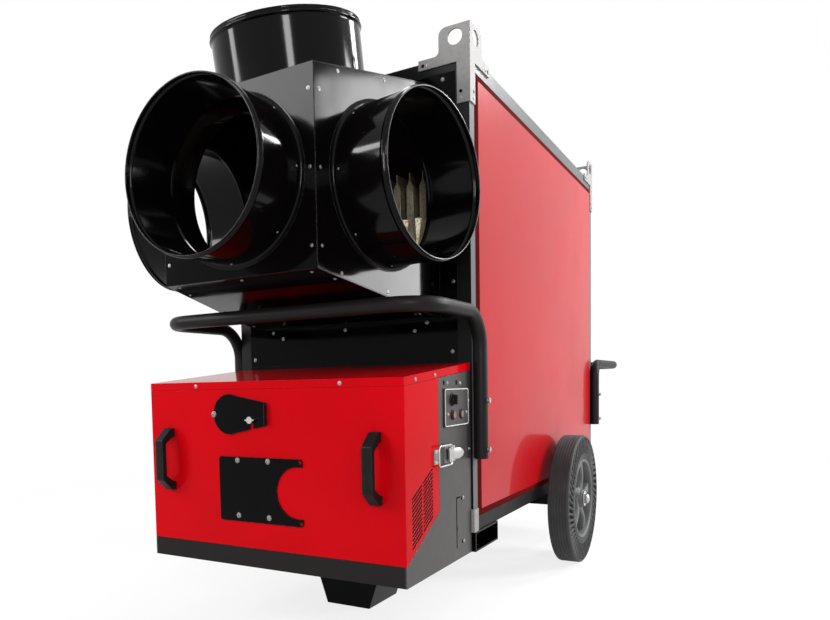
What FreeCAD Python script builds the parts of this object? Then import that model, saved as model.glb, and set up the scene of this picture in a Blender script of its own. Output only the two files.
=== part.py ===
"""Mobile hot air generator: a wheeled cabinet heater with a burner hood, a tapered outlet plenum
and four duct spigots.

Frame: +Z is up, +X is the right-hand side seen from the burner end, and the burner end looks
towards -Y.  The origin lies on the floor, under the middle of the machine.  Lengths along Y are
laid out from the front face of the burner hood and shifted to the origin when a piece is placed.
Millimetres and degrees throughout.
"""
import FreeCAD, Part
import math
import os

import Sketcher

doc = FreeCAD.newDocument("HotAirGenerator")

# Driving dimensions
DRIVING = {
    # burner bay
    "burner_inset": 8, "burner_depth": 363, "sheet_gauge": 2, "plate_gauge": 3,
    "tray_bottom": 184, "tray_top": 228, "bay_gap": 1, "seam_gap": 0.5,
    "lid_front_height": 616, "lid_rear_height": 651, "lid_lip": 18,
    "hood_side_depth": 170, "hood_corner_height": 316,
    # cabinet
    "cabinet_width": 724, "cabinet_length": 1340, "cabinet_top": 1387, "frame_section": 35,
    "chassis_bottom": 232, "chassis_top": 267, "panel_skin": 2,
    "panel_border": 18, "front_split_height": 660,
    # lifting brackets
    "bracket_gauge": 4, "bracket_rise": 70, "bracket_drop": 115, "bracket_leg": 34,
    "bracket_arm": 134, "bracket_lug": 80, "lug_corner": 18, "lug_fillet": 12, "lug_steps": 4,
    "arm_rise": 7, "arm_drop": 17, "lift_eye_radius": 19, "lift_eye_inset": 38, "lift_eye_rise": 42,
    "corner_plate_top": 289, "corner_plate_width": 30,
    # plenum and spigots
    "plenum_reach": 81, "plenum_rear": 330, "plenum_gauge": 2, "bore_reach": 40,
    "plenum_front_half": 207, "plenum_rear_half": 276,
    "plenum_front_top": 1238, "plenum_front_bottom": 836,
    "plenum_rear_top": 1318, "plenum_rear_bottom": 765,
    "spigot_radius": 174, "spigot_gauge": 2, "spigot_length": 140, "spigot_height": 1037,
    "side_spigot_reach": 141, "top_spigot_reach": 150,
    "spigot_flange": 10, "bead_radius": 4, "bead_inset": 6,
    "spigot_inward": 20, "front_spigot_inward": 65, "top_spigot_length": 147,
    # undercarriage
    "tyre_radius": 210, "tyre_width": 66, "rim_radius": 132, "rim_gauge": 16, "tyre_gap": 28, "shoulder": 2.5,
    "groove_reach": 9.5, "groove_half": 1.5, "groove_slope": 1, "groove_deep": 4,
    "axle_reach": 1126, "axle_radius": 10, "axle_clearance": 0.05, "hub_radius": 28,
    "hub_width": 68, "spoke_count": 5, "spoke_width": 26, "spoke_depth": 22,
    "beam_width": 50, "beam_low": 25, "beam_inset": 12,
    "wheel_gap": 0.5, "nut_radius": 15, "nut_length": 16,
    "fork_reach": 371, "fork_width": 165, "fork_height": 50, "fork_gauge": 4,
    "rear_fork_reach": 1450,
    "foot_reach": 352, "foot_depth": 160, "foot_base": 132, "foot_crown": 257, "foot_gauge": 4,
    "foot_wall": 5,
    # push rails
    "rail_radius": 17, "rail_bore": 14.5, "rail_bend": 85, "rail_foot": 415, "rail_height": 770,
    "rail_reach": 312, "rail_inset": 17, "rear_rail_foot": 424, "rear_rail_height": 668,
    "rear_rail_reach": 434, "rear_rail_bend": 55,
    "rail_bolt_radius": 6, "rail_bolt_head": 7, "rail_bolt_low": 23, "rail_bolt_high": 143,
    "rear_rail_bolt_high": 120,
    # hood fittings
    "grip_length": 152, "grip_width": 25, "grip_depth": 44, "grip_bar": 13, "grip_slope": 28,
    "grip_foot": 21, "grip_web": 8, "grip_turn": 9,
    "grip_spread": 578, "grip_height": 429,
    "pivot_x": -144, "pivot_height": 540, "cover_disc_shift": 45, "cover_disc_radius": 47,
    "cover_tip": 154, "cover_tip_half": 26, "cover_gauge": 2.5, "cover_standoff": 1.5,
    "sight_radius": 34, "pivot_radius": 4, "pivot_clearance": 0.05, "pivot_head": 9,
    "wing_x": -33, "wing_height": 527, "wing_slot": 9, "wing_stem": 3, "wing_head": 8,
    "wing_span": 26,
    "collar_left": -134, "collar_right": 104, "collar_bottom": 290, "collar_top": 441,
    "collar_notch_x": 90, "collar_notch_height": 365, "collar_notch_radius": 58,
    "collar_corner": 7, "collar_hole": 4, "collar_gauge": 3, "collar_bolt_radius": 6,
    "collar_bolt_head": 4, "collar_bolt_inset": 17,
    # louvres
    "slot_first": 30, "slot_last": 141, "slot_low": 258, "slot_rise": 56, "slot_pitch": 8.6,
    "slot_tall": 4.6, "slot_count": 13, "slot_bridge": 7,
    # latches
    "latch_height": 440, "latch_reach": 212, "latch_base_length": 60, "latch_base_tall": 36,
    "latch_standoff": 9, "latch_pin": 2, "latch_throw": 12, "latch_lever_length": 68,
    "latch_lever_width": 28, "latch_lever_gauge": 2.5, "bail_radius": 2, "bail_half": 22.5,
    "bail_reach": 74, "catch_reach": 146, "catch_tall": 32, "catch_rise": 7, "latch_play": 0.4,
    # control plate
    "control_front": 197, "control_rear": 341, "control_bottom": 502, "control_top": 590,
    "control_gauge": 4, "knob_reach": 239, "knob_height": 564, "knob_radius": 11,
    "knob_depth": 13, "knob_shaft": 4, "button_reach": 241, "button_height": 529,
    "button_radius": 8, "button_travel": 2.5, "button_proud": 6, "lamp_reach": 293,
    "lamp_proud": 4, "moving_gap": 0.5, "gland_radius": 11, "gland_length": 24,
    "gland_rise": 33,
    # burner and furnace
    "burner_axis_height": 470, "blast_tube_radius": 75, "burner_case_radius": 110,
    "burner_case_depth": 150, "burner_motor_radius": 58, "burner_motor_length": 120,
    "furnace_radius": 220, "furnace_height": 560, "furnace_start": 420, "furnace_length": 900,
    "furnace_gauge": 3,
    "element_count": 9, "element_pitch": 46, "element_width": 24, "header_top": 1010,
    "element_shoulder": 1095, "element_peak": 1125, "element_start": 425, "element_length": 780,
    "flue_radius": 100, "flue_gauge": 2, "flue_height": 58, "flue_reach": 1250,
    # fan
    "fan_height": 800, "fan_ring_margin": 23, "fan_ring_depth": 90, "fan_ring_gauge": 3,
    "fan_tip_gap": 12, "fan_hub_radius": 70, "fan_hub_depth": 60, "blade_count": 6,
    "blade_chord": 100, "blade_gauge": 4, "blade_pitch": 32, "blade_root": 27,
    "motor_radius": 78,
    "motor_length": 170, "motor_shaft": 9, "motor_arm": 30, "guard_bar": 5, "guard_rings": 5,
    "guard_pitch": 56, "fan_setback": 12,
}

sheet = doc.addObject("Spreadsheet::Sheet", "Dims")
for row, (alias, number) in enumerate(DRIVING.items(), start=1):
    sheet.set(f"A{row}", alias)
    sheet.set(f"B{row}", str(number))
    sheet.setAlias(f"B{row}", alias)
doc.recompute()


class Size:
    """A length that knows both its number and its expression over the sheet."""

    def __init__(self, text, value):
        self.text = text
        self.value = float(value)

    def __add__(self, other):
        other = size(other)
        return Size(f"({self.text} + {other.text})", self.value + other.value)

    def __radd__(self, other):
        return size(other) + self

    def __sub__(self, other):
        other = size(other)
        return Size(f"({self.text} - {other.text})", self.value - other.value)

    def __rsub__(self, other):
        return size(other) - self

    def __mul__(self, other):
        other = size(other)
        return Size(f"({self.text} * {other.text})", self.value * other.value)

    def __rmul__(self, other):
        return size(other) * self

    def __truediv__(self, other):
        other = size(other)
        return Size(f"({self.text} / {other.text})", self.value / other.value)

    def __neg__(self):
        return Size(f"(0 - {self.text})", -self.value)


def size(thing):
    """Give a number or a size as a size."""
    return thing if isinstance(thing, Size) else Size(repr(float(thing)), thing)


class Dims:
    """The sheet's cells by name."""

    def __getattr__(self, alias):
        return Size(f"Dims.{alias}", sheet.get(alias))


d = Dims()
X_AXIS = FreeCAD.Rotation(FreeCAD.Vector(0, 1, 0), 90)
Y_AXIS = FreeCAD.Rotation(FreeCAD.Vector(1, 0, 0), -90)
Z_AXIS = FreeCAD.Rotation()

# Places that several pieces share, along Y from the hood's front face
cabinet_front = d.burner_depth
cabinet_rear = d.burner_depth + d.cabinet_length
front_reach = d.plenum_reach + d.spigot_length
rear_reach = cabinet_rear - d.rail_inset + d.rear_rail_reach + d.rail_radius
middle = (rear_reach - front_reach) / 2
cabinet_half = d.cabinet_width / 2
burner_half = cabinet_half - d.burner_inset
burner_width = 2 * burner_half
post_half = cabinet_half - d.bracket_gauge
post_inner = post_half - d.frame_section
post_front = cabinet_front + d.bracket_gauge
post_rear = cabinet_rear - d.bracket_gauge

nodes = {}


def bind(obj, **sizes):
    """Tie an object's properties to the sheet."""
    for name, thing in sizes.items():
        obj.setExpression(name, size(thing).text)


def place(obj, x=0, y=0, z=0, rotation=Z_AXIS):
    """Set an object's turn and tie its place to the sheet."""
    obj.Placement = FreeCAD.Placement(FreeCAD.Vector(0, 0, 0), rotation)
    obj.setExpression("Placement.Base.x", size(x).text)
    obj.setExpression("Placement.Base.y", (size(y) - middle).text)
    obj.setExpression("Placement.Base.z", size(z).text)
    return obj


def node(name, obj):
    """Register an object as the sub-part with that name."""
    obj.Label = name
    nodes[name] = obj
    return obj


def box(x, y, z):
    """A block between two corners, given as pairs of sizes."""
    obj = doc.addObject("Part::Box", "block")
    bind(obj, Length=size(x[1]) - x[0], Width=size(y[1]) - y[0], Height=size(z[1]) - z[0])
    return place(obj, x[0], y[0], z[0])


def wedge(y, x_near, x_far, z_near, z_far):
    """A tapered block along Y, from a near rectangle to a far one."""
    obj = doc.addObject("Part::Wedge", "taper")
    bind(obj, Ymin=0, Ymax=size(y[1]) - y[0],
         Xmin=x_near[0], Xmax=x_near[1], X2min=x_far[0], X2max=x_far[1],
         Zmin=z_near[0], Zmax=z_near[1], Z2min=z_far[0], Z2max=z_far[1])
    return place(obj, 0, y[0], 0)


def rod(radius, length, x, y, z, rotation=Z_AXIS):
    """A round bar from a point along a turned Z axis."""
    obj = doc.addObject("Part::Cylinder", "rod")
    bind(obj, Radius=radius, Height=length)
    return place(obj, x, y, z, rotation)


def cut(base, *tools):
    """A piece with other shapes taken away."""
    obj = doc.addObject("Part::Cut", "cut")
    obj.Base = base
    obj.Tool = tools[0] if len(tools) == 1 else group(*tools)
    return obj


def fuse(*parts):
    """Several shapes joined into one solid."""
    obj = doc.addObject("Part::MultiFuse", "fuse")
    obj.Shapes = list(parts)
    obj.Refine = True
    return obj


def group(*parts):
    """Separate solids kept as one set."""
    obj = doc.addObject("Part::Compound", "set")
    obj.Links = list(parts)
    return obj


def mirrored(source):
    """The mirror image of a piece across the machine's middle plane."""
    obj = doc.addObject("Part::Mirroring", "mirror")
    obj.Source = source
    obj.Normal = FreeCAD.Vector(1, 0, 0)
    return obj


def tube(outer, inner, length, x, y, z, rotation=Z_AXIS):
    """A round pipe."""
    return cut(rod(outer, length, x, y, z, rotation), rod(inner, length, x, y, z, rotation))


def outline(body, plane, points):
    """A fully dimensioned sketch of straight lines on one of a body's own planes."""
    sketch = body.newObject("Sketcher::SketchObject", "outline")
    support = next(o for o in body.Origin.OriginFeatures if o.Role == plane)
    sketch.AttachmentSupport = (support, [""])
    sketch.MapMode = "FlatFace"
    corners = [(size(u), size(v)) for u, v in points]
    for start, end in zip(corners, corners[1:] + corners[:1]):
        line = Part.LineSegment(FreeCAD.Vector(start[0].value, start[1].value, 0),
                                FreeCAD.Vector(end[0].value, end[1].value, 0))
        sketch.addGeometry(line, False)
    count = len(corners)
    for index in range(count):
        sketch.addConstraint(Sketcher.Constraint("Coincident", index, 2, (index + 1) % count, 1))
    for index, corner in enumerate(corners):
        for kind, reach in zip(("DistanceX", "DistanceY"), corner):
            number = sketch.addConstraint(Sketcher.Constraint(kind, -1, 1, index, 1, reach.value))
            sketch.setExpression(f"Constraints[{number}]", reach.text)
    return sketch


def profile(plane, points, length, x=0, y=0, z=0):
    """A padded outline."""
    body = doc.addObject("PartDesign::Body", "profile")
    sketch = outline(body, plane, points)
    pad = body.newObject("PartDesign::Pad", "pad")
    pad.Profile = sketch
    bind(pad, Length=length)
    return place(body, x, y, z)


def turned(points, x, y, z, rotation):
    """A turned piece: an outline of (radius, height) points swung round its own axis."""
    body = doc.addObject("PartDesign::Body", "turned")
    sketch = outline(body, "XZ_Plane", points)
    swing = body.newObject("PartDesign::Revolution", "swing")
    swing.Profile = sketch
    swing.ReferenceAxis = (sketch, ["V_Axis"])
    swing.Angle = 360
    return place(body, x, y, z, rotation)


# Burner tray, wedge-shaped side plates and lid
plate_inner = burner_half - d.plate_gauge
node("base_tray", cut(
    box((-plate_inner, plate_inner), (0, cabinet_front), (d.tray_bottom, d.tray_top)),
    box((d.plate_gauge - plate_inner, plate_inner - d.plate_gauge),
        (d.plate_gauge, cabinet_front - d.plate_gauge),
        (d.tray_bottom + d.plate_gauge, d.tray_top))))

lid_slope = (d.lid_rear_height - d.lid_front_height) / d.burner_depth
lid_under_corner = d.lid_front_height - d.lid_lip + lid_slope * d.hood_side_depth
lid_under_rear = d.lid_rear_height - d.lid_lip
side_plate = profile(
    "YZ_Plane",
    [(0, d.tray_bottom), (d.burner_depth, d.tray_bottom),
     (d.burner_depth, lid_under_rear - d.bay_gap),
     (d.hood_side_depth, lid_under_corner - d.bay_gap), (d.hood_side_depth, d.hood_corner_height),
     (0, d.tray_top)],
    d.plate_gauge, x=plate_inner)
node("side_plates", group(side_plate, mirrored(side_plate)))

lid_blank = profile(
    "YZ_Plane",
    [(0, d.lid_front_height - d.lid_lip), (d.burner_depth, lid_under_rear),
     (d.burner_depth, d.lid_rear_height), (0, d.lid_front_height)],
    burner_width, x=-burner_half)
lid_hollow = profile(
    "YZ_Plane",
    [(d.sheet_gauge, d.lid_front_height - 2 * d.lid_lip),
     (2 * d.burner_depth, d.lid_front_height - 2 * d.lid_lip),
     (2 * d.burner_depth,
      d.lid_front_height - d.sheet_gauge + 2 * (d.lid_rear_height - d.lid_front_height)),
     (d.sheet_gauge, d.lid_front_height - d.sheet_gauge + lid_slope * d.sheet_gauge)],
    burner_width - 2 * d.sheet_gauge, x=d.sheet_gauge - burner_half)
node("burner_lid", cut(lid_blank, lid_hollow))

# Burner hood with louvred cheeks and a round sight hole
hood_low = d.tray_top + d.bay_gap
hood_top = d.lid_front_height - d.lid_lip - d.seam_gap
hood_rear = d.hood_side_depth - d.bay_gap
cheek_top = hood_top + lid_slope * hood_rear
hood_front = box((-burner_half, burner_half), (0, d.sheet_gauge), (hood_low, hood_top))
cheek = profile(
    "YZ_Plane",
    [(d.sheet_gauge, hood_low + d.bay_gap), (hood_rear, d.hood_corner_height + d.bay_gap),
     (hood_rear, cheek_top), (d.sheet_gauge, hood_top + lid_slope * d.sheet_gauge)],
    d.sheet_gauge, x=burner_half - d.sheet_gauge)
slots = []
slot_angle = math.degrees(math.atan2(d.slot_rise.value, (d.slot_last - d.slot_first).value))
slot_turn = FreeCAD.Rotation(FreeCAD.Vector(1, 0, 0), slot_angle)
slot_length = (d.slot_last - d.slot_first) / (2 * math.cos(math.radians(slot_angle)))
for index in range(int(d.slot_count.value)):
    for half in (0, 1):
        slot = doc.addObject("Part::Box", "slot")
        bind(slot, Length=2 * burner_width, Width=slot_length - d.slot_bridge,
             Height=d.slot_tall)
        place(slot, -burner_width,
              d.slot_first + half * (d.slot_last - d.slot_first) / 2,
              d.slot_low + index * d.slot_pitch + half * d.slot_rise / 2, slot_turn)
        slots.append(slot)
sight_x = d.pivot_x + d.cover_disc_shift
hood_blank = fuse(hood_front, cheek, mirrored(cheek))
node("burner_hood", cut(
    hood_blank,
    rod(d.sight_radius, 2 * d.sheet_gauge, sight_x, -d.sheet_gauge / 2, d.pivot_height, Y_AXIS),
    rod(d.pivot_radius + d.pivot_clearance, 2 * d.sheet_gauge, d.pivot_x, -d.sheet_gauge / 2,
        d.pivot_height, Y_AXIS),
    rod(d.wing_stem + d.pivot_clearance, 2 * d.sheet_gauge, d.wing_x, -d.sheet_gauge / 2,
        d.wing_height, Y_AXIS),
    *slots))

# Bridge handles with sloping ends
grip_half = d.grip_length / 2
grip_points = [
    (0, grip_half), (-d.grip_bar, grip_half), (-d.grip_depth, grip_half - d.grip_slope),
    (-d.grip_depth, d.grip_slope - grip_half), (-d.grip_bar, -grip_half), (0, -grip_half),
    (0, d.grip_foot - grip_half), (-d.grip_web, d.grip_foot - grip_half),
    (d.grip_bar - d.grip_depth, d.grip_slope + d.grip_turn - grip_half),
    (d.grip_bar - d.grip_depth, grip_half - d.grip_slope - d.grip_turn),
    (-d.grip_web, grip_half - d.grip_foot), (0, grip_half - d.grip_foot)]
node("hood_handles", group(*[
    profile("YZ_Plane", grip_points, d.grip_width,
            x=side * d.grip_spread / 2 - d.grip_width / 2, z=d.grip_height)
    for side in (-1, 1)]))

# Half-collar plate with its bolts
collar_skin = (-d.collar_gauge, 0)
collar_x = (d.collar_left + d.collar_corner, d.collar_right - d.collar_corner)
collar_z = (d.collar_bottom + d.collar_corner, d.collar_top - d.collar_corner)
collar_blank = fuse(
    box((d.collar_left, d.collar_right), collar_skin, collar_z),
    box(collar_x, collar_skin, (d.collar_bottom, d.collar_top)),
    *[rod(d.collar_corner, d.collar_gauge, x, -d.collar_gauge, z, Y_AXIS)
      for x in collar_x for z in collar_z])
collar_holes = [rod(d.collar_hole, 2 * d.collar_gauge, collar_x[1], -1.5 * d.collar_gauge, z, Y_AXIS)
                for z in collar_z]
node("collar_plate", cut(
    collar_blank,
    rod(d.collar_notch_radius, 2 * d.collar_gauge, d.collar_notch_x, -1.5 * d.collar_gauge,
        d.collar_notch_height, Y_AXIS),
    box((d.collar_notch_x, 2 * d.collar_right), (-2 * d.collar_gauge, d.collar_gauge),
        (d.collar_notch_height - d.collar_notch_radius,
         d.collar_notch_height + d.collar_notch_radius)),
    *collar_holes))
bolt_x = (d.collar_left + 3 * d.collar_bolt_inset, d.collar_notch_x - d.collar_notch_radius)
bolt_z = (d.collar_bottom + d.collar_bolt_inset / 2, d.collar_top - d.collar_bolt_inset / 2)
collar_bolts = [
    rod(d.collar_bolt_radius, d.collar_bolt_head, x, -d.collar_gauge - d.collar_bolt_head, z,
        Y_AXIS) for x in bolt_x for z in bolt_z]

# Swinging sight-hole cover on its pivot screw, held by a wing screw
cover_rear = -d.cover_standoff
cover_front = cover_rear - d.cover_gauge
cover_tail = profile(
    "XZ_Plane",
    [(d.cover_disc_shift, -d.cover_disc_radius), (d.cover_tip, -d.cover_tip_half),
     (d.cover_tip, d.cover_tip_half), (d.cover_disc_shift, d.cover_disc_radius)],
    d.cover_gauge, x=d.pivot_x, y=cover_rear, z=d.pivot_height)
cover_disc = rod(d.cover_disc_radius, d.cover_gauge, sight_x, cover_front, d.pivot_height, Y_AXIS)
cover_hole = rod(d.pivot_radius + d.pivot_clearance, 2 * d.cover_gauge, d.pivot_x,
                 cover_front - d.cover_gauge / 2, d.pivot_height, Y_AXIS)
cover_notch = box((d.wing_x - d.wing_slot / 2, d.wing_x + d.wing_slot / 2),
                  (cover_front - d.cover_gauge, 0),
                  (d.pivot_height - d.cover_disc_radius, d.wing_height + d.wing_slot / 2))
node("sight_cover", cut(fuse(cover_disc, cover_tail), cover_hole, cover_notch))
pivot_stem = d.sheet_gauge + d.cover_standoff + d.cover_gauge + d.moving_gap
pivot_screw = turned(
    [(0, 0), (d.pivot_radius, 0), (d.pivot_radius, pivot_stem), (d.pivot_head, pivot_stem),
     (d.pivot_head, pivot_stem + d.pivot_radius), (0, pivot_stem + d.pivot_radius)],
    d.pivot_x, d.sheet_gauge, d.pivot_height, FreeCAD.Rotation(FreeCAD.Vector(1, 0, 0), 90))
node("hood_fasteners", group(pivot_screw, *collar_bolts))
wing_back = cover_front - d.moving_gap
node("wing_screw", fuse(
    rod(d.wing_stem, d.sheet_gauge - wing_back, d.wing_x, wing_back, d.wing_height, Y_AXIS),
    rod(d.wing_head, d.wing_head, d.wing_x, wing_back - d.wing_head, d.wing_height, Y_AXIS),
    box((d.wing_x - d.wing_span / 2, d.wing_x + d.wing_span / 2),
        (wing_back - d.wing_head, wing_back - d.wing_head / 2),
        (d.wing_height - d.wing_stem / 2, d.wing_height + d.wing_stem / 2))))

# Toggle latches on both side plates
latch_low = d.latch_height - d.latch_base_tall / 2
latch_high = d.latch_height + d.latch_base_tall / 2
latch_x = burner_half + d.latch_standoff
ear_gauge = d.latch_lever_gauge
base_front = d.latch_reach - d.latch_base_length / 4
base_plate = box((burner_half, burner_half + ear_gauge),
                 (base_front, base_front + d.latch_base_length), (latch_low, latch_high))
ears = [box((burner_half, latch_x + 2 * d.latch_pin),
            (d.latch_reach - 3 * d.latch_pin, d.latch_reach + 3 * d.latch_pin), level)
        for level in ((latch_low, latch_low + ear_gauge), (latch_high - ear_gauge, latch_high))]
pin = rod(d.latch_pin, d.latch_base_tall, latch_x, d.latch_reach, latch_low)
latch_base = fuse(base_plate, *ears, pin)
node("latch_bases", group(latch_base, mirrored(latch_base)))
lever_half = d.latch_lever_width / 2
lever_rear = d.latch_reach + d.latch_lever_length
lever_sheet = box((latch_x - d.latch_lever_gauge / 2, latch_x + d.latch_lever_gauge / 2),
                  (d.latch_reach, lever_rear),
                  (d.latch_height - lever_half, d.latch_height + lever_half))
lever_barrel = rod(2 * d.latch_pin, 2 * lever_half, latch_x, d.latch_reach,
                   d.latch_height - lever_half)
lever_bore = rod(d.latch_pin + d.axle_clearance, 3 * lever_half, latch_x, d.latch_reach,
                 d.latch_height - 1.5 * lever_half)
bail_pivot = d.latch_reach + d.latch_throw
bail_eye = rod(2 * d.bail_radius, 2 * lever_half, latch_x, bail_pivot, d.latch_height - lever_half)
bail_bore = rod(d.bail_radius + d.axle_clearance, 3 * lever_half, latch_x, bail_pivot,
                d.latch_height - 1.5 * lever_half)
lever = node("latch_lever_right", cut(fuse(lever_sheet, lever_barrel, bail_eye),
                                      lever_bore, bail_bore))
node("latch_lever_left", mirrored(lever))
bail_end = bail_pivot - d.bail_reach
bail_wires = [
    rod(d.bail_radius, d.bail_reach, 0, bail_end, d.latch_height + side * d.bail_half, Y_AXIS)
    for side in (-1, 1)]
bail_cross = [
    rod(d.bail_radius, 2 * (d.bail_half + d.bail_radius), 0, y,
        d.latch_height - d.bail_half - d.bail_radius) for y in (bail_end, bail_pivot)]
bail = node("latch_bail_right", place(fuse(*bail_wires, *bail_cross), latch_x, middle))
node("latch_bail_left", mirrored(bail))
catch_crest = latch_x - d.bail_radius - d.latch_play - burner_half
catch_low = d.latch_height - d.catch_tall / 2
catch = fuse(
    box((burner_half, burner_half + d.sheet_gauge),
        (d.catch_reach - d.catch_rise, d.catch_reach + 2 * d.catch_rise),
        (catch_low, catch_low + d.catch_tall)),
    box((burner_half, burner_half + catch_crest),
        (d.catch_reach + d.catch_rise, d.catch_reach + 2 * d.catch_rise),
        (catch_low + d.catch_rise, catch_low + d.catch_tall - d.catch_rise)))
node("latch_catches", group(catch, mirrored(catch)))

# Control plate with main switch, reset button, lamp and cable inlet
node("control_plate", cut(
    box((burner_half, burner_half + d.control_gauge), (d.control_front, d.control_rear),
        (d.control_bottom, d.control_top)),
    rod(d.knob_shaft + d.moving_gap, 3 * d.control_gauge, burner_half - d.control_gauge,
        d.knob_reach, d.knob_height, X_AXIS),
    rod(d.button_radius + d.moving_gap, 3 * d.control_gauge, burner_half - d.control_gauge,
        d.button_reach, d.button_height, X_AXIS)))
control_face = burner_half + d.control_gauge
knob_back = control_face + d.moving_gap
node("main_switch_knob", fuse(
    rod(d.knob_shaft, d.control_gauge + d.moving_gap, burner_half + d.moving_gap, d.knob_reach,
        d.knob_height, X_AXIS),
    rod(d.knob_radius, d.knob_depth / 2, knob_back, d.knob_reach, d.knob_height, X_AXIS),
    box((knob_back, knob_back + d.knob_depth),
        (d.knob_reach - d.knob_shaft / 2, d.knob_reach + d.knob_shaft / 2),
        (d.knob_height - d.knob_radius, d.knob_height + d.knob_radius))))
button_back = burner_half + d.moving_gap + d.button_travel
node("reset_button", rod(d.button_radius, control_face + d.button_proud - button_back,
                         button_back, d.button_reach, d.button_height, X_AXIS))
node("status_lamp", rod(d.button_radius, d.lamp_proud, control_face, d.lamp_reach,
                        d.button_height, X_AXIS))

# Chassis, undercarriage and fork pockets
chassis_outer = box((-post_half, post_half), (post_front, post_rear),
                    (d.chassis_bottom, d.chassis_top))
chassis_inner = box((-post_inner, post_inner),
                    (post_front + d.frame_section, post_rear - d.frame_section),
                    (d.chassis_bottom, d.chassis_top))
node("chassis_frame", cut(chassis_outer, chassis_inner))
pocket_low = d.chassis_bottom - d.fork_height
for name, reach in (("fork_pocket_front", d.fork_reach), ("fork_pocket_rear", d.rear_fork_reach)):
    node(name, cut(
        box((-cabinet_half, cabinet_half), (reach, reach + d.fork_width),
            (pocket_low, d.chassis_bottom)),
        box((-2 * cabinet_half, 2 * cabinet_half),
            (reach + d.fork_gauge, reach + d.fork_width - d.fork_gauge),
            (pocket_low + d.fork_gauge, d.chassis_bottom - d.fork_gauge))))
foot_top = pocket_low
foot_outer = profile(
    "XZ_Plane",
    [(-d.foot_base / 2, 0), (d.foot_base / 2, 0), (d.foot_crown / 2, foot_top),
     (-d.foot_crown / 2, foot_top)],
    d.foot_depth, y=d.foot_reach + d.foot_depth)
foot_inner = profile(
    "XZ_Plane",
    [(d.foot_wall - d.foot_base / 2, d.foot_gauge),
     (d.foot_base / 2 - d.foot_wall, d.foot_gauge),
     (d.foot_crown / 2 - d.foot_wall, foot_top),
     (d.foot_wall - d.foot_crown / 2, foot_top)],
    d.foot_depth - 2 * d.foot_gauge, y=d.foot_reach + d.foot_depth - d.foot_gauge)
node("front_foot", cut(foot_outer, foot_inner))

tyre_half = d.tyre_width / 2
track_half = cabinet_half + d.tyre_gap + tyre_half
beam_half = cabinet_half - d.beam_inset
node("axle_beam", box((-beam_half, beam_half),
                      (d.axle_reach - d.beam_width / 2, d.axle_reach + d.beam_width / 2),
                      (d.tyre_radius - d.beam_low, d.chassis_bottom)))
axle_end = track_half + d.hub_width / 2 + d.wheel_gap
axle = rod(d.axle_radius, axle_end - beam_half, beam_half, d.axle_reach, d.tyre_radius, X_AXIS)
node("wheel_axles", group(axle, mirrored(axle)))
nut = rod(d.nut_radius, d.nut_length, axle_end, d.axle_reach, d.tyre_radius, X_AXIS)
node("axle_nuts", group(nut, mirrored(nut)))

groove_floor = d.tyre_radius - d.groove_deep
groove_wide = d.groove_half + d.groove_slope
half_section = [
    (d.tyre_radius, d.groove_reach - groove_wide), (groove_floor, d.groove_reach - d.groove_half),
    (groove_floor, d.groove_reach + d.groove_half), (d.tyre_radius, d.groove_reach + groove_wide),
    (d.tyre_radius, tyre_half - 3 * d.shoulder),
    (d.tyre_radius - d.shoulder, tyre_half - d.shoulder),
    (d.tyre_radius - 3 * d.shoulder, tyre_half), (d.rim_radius, tyre_half)]
tyre = node("tyre_right", turned(
    [(radius, -across) for radius, across in reversed(half_section)] + half_section,
    track_half, d.axle_reach, d.tyre_radius, X_AXIS))
node("tyre_left", mirrored(tyre))
rim = tube(d.rim_radius, d.rim_radius - d.rim_gauge, d.tyre_width, track_half - tyre_half,
           d.axle_reach, d.tyre_radius, X_AXIS)
boss = rod(d.hub_radius, d.hub_width, track_half - d.hub_width / 2, d.axle_reach, d.tyre_radius,
           X_AXIS)
spokes = []
for index in range(int(d.spoke_count.value)):
    spoke = doc.addObject("Part::Box", "spoke")
    bind(spoke, Length=d.spoke_depth, Width=d.spoke_width, Height=d.rim_radius - d.rim_gauge / 2)
    turn = FreeCAD.Rotation(FreeCAD.Vector(1, 0, 0), 360 / d.spoke_count.value * index)
    shift = turn.multVec(FreeCAD.Vector(0, -0.5, 0))
    place(spoke, track_half - d.spoke_depth / 2, d.axle_reach + d.spoke_width * shift.y,
          d.tyre_radius + d.spoke_width * shift.z, turn)
    spokes.append(spoke)
hub_bore = rod(d.axle_radius + d.axle_clearance, 2 * d.hub_width, track_half - d.hub_width,
               d.axle_reach, d.tyre_radius, X_AXIS)
hub = node("wheel_hub_right", cut(fuse(rim, boss, *spokes), hub_bore))
node("wheel_hub_left", mirrored(hub))

# Cabinet frame, lifting brackets and panels
post_level = (d.chassis_top, d.cabinet_top - d.frame_section)
posts = []
for side in (-1, 1):
    x_pair = sorted((side * post_half, side * post_inner), key=lambda s: s.value)
    posts.append(box(x_pair, (post_front, post_front + d.frame_section), post_level))
    posts.append(box(x_pair, (post_rear - d.frame_section, post_rear), post_level))
top_ring = cut(
    box((-post_half, post_half), (post_front, post_rear), (post_level[1], d.cabinet_top)),
    box((-post_inner, post_inner),
        (post_front + d.frame_section, post_rear - d.frame_section),
        (post_level[1], d.cabinet_top)))
node("cabinet_frame", fuse(top_ring, *posts))

arm_low = d.cabinet_top - d.arm_drop
arm_top = d.cabinet_top + d.arm_rise
bracket_top = d.cabinet_top + d.bracket_rise
bracket_low = d.cabinet_top - d.bracket_drop
lift_eye_height = d.cabinet_top + d.lift_eye_rise


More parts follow.
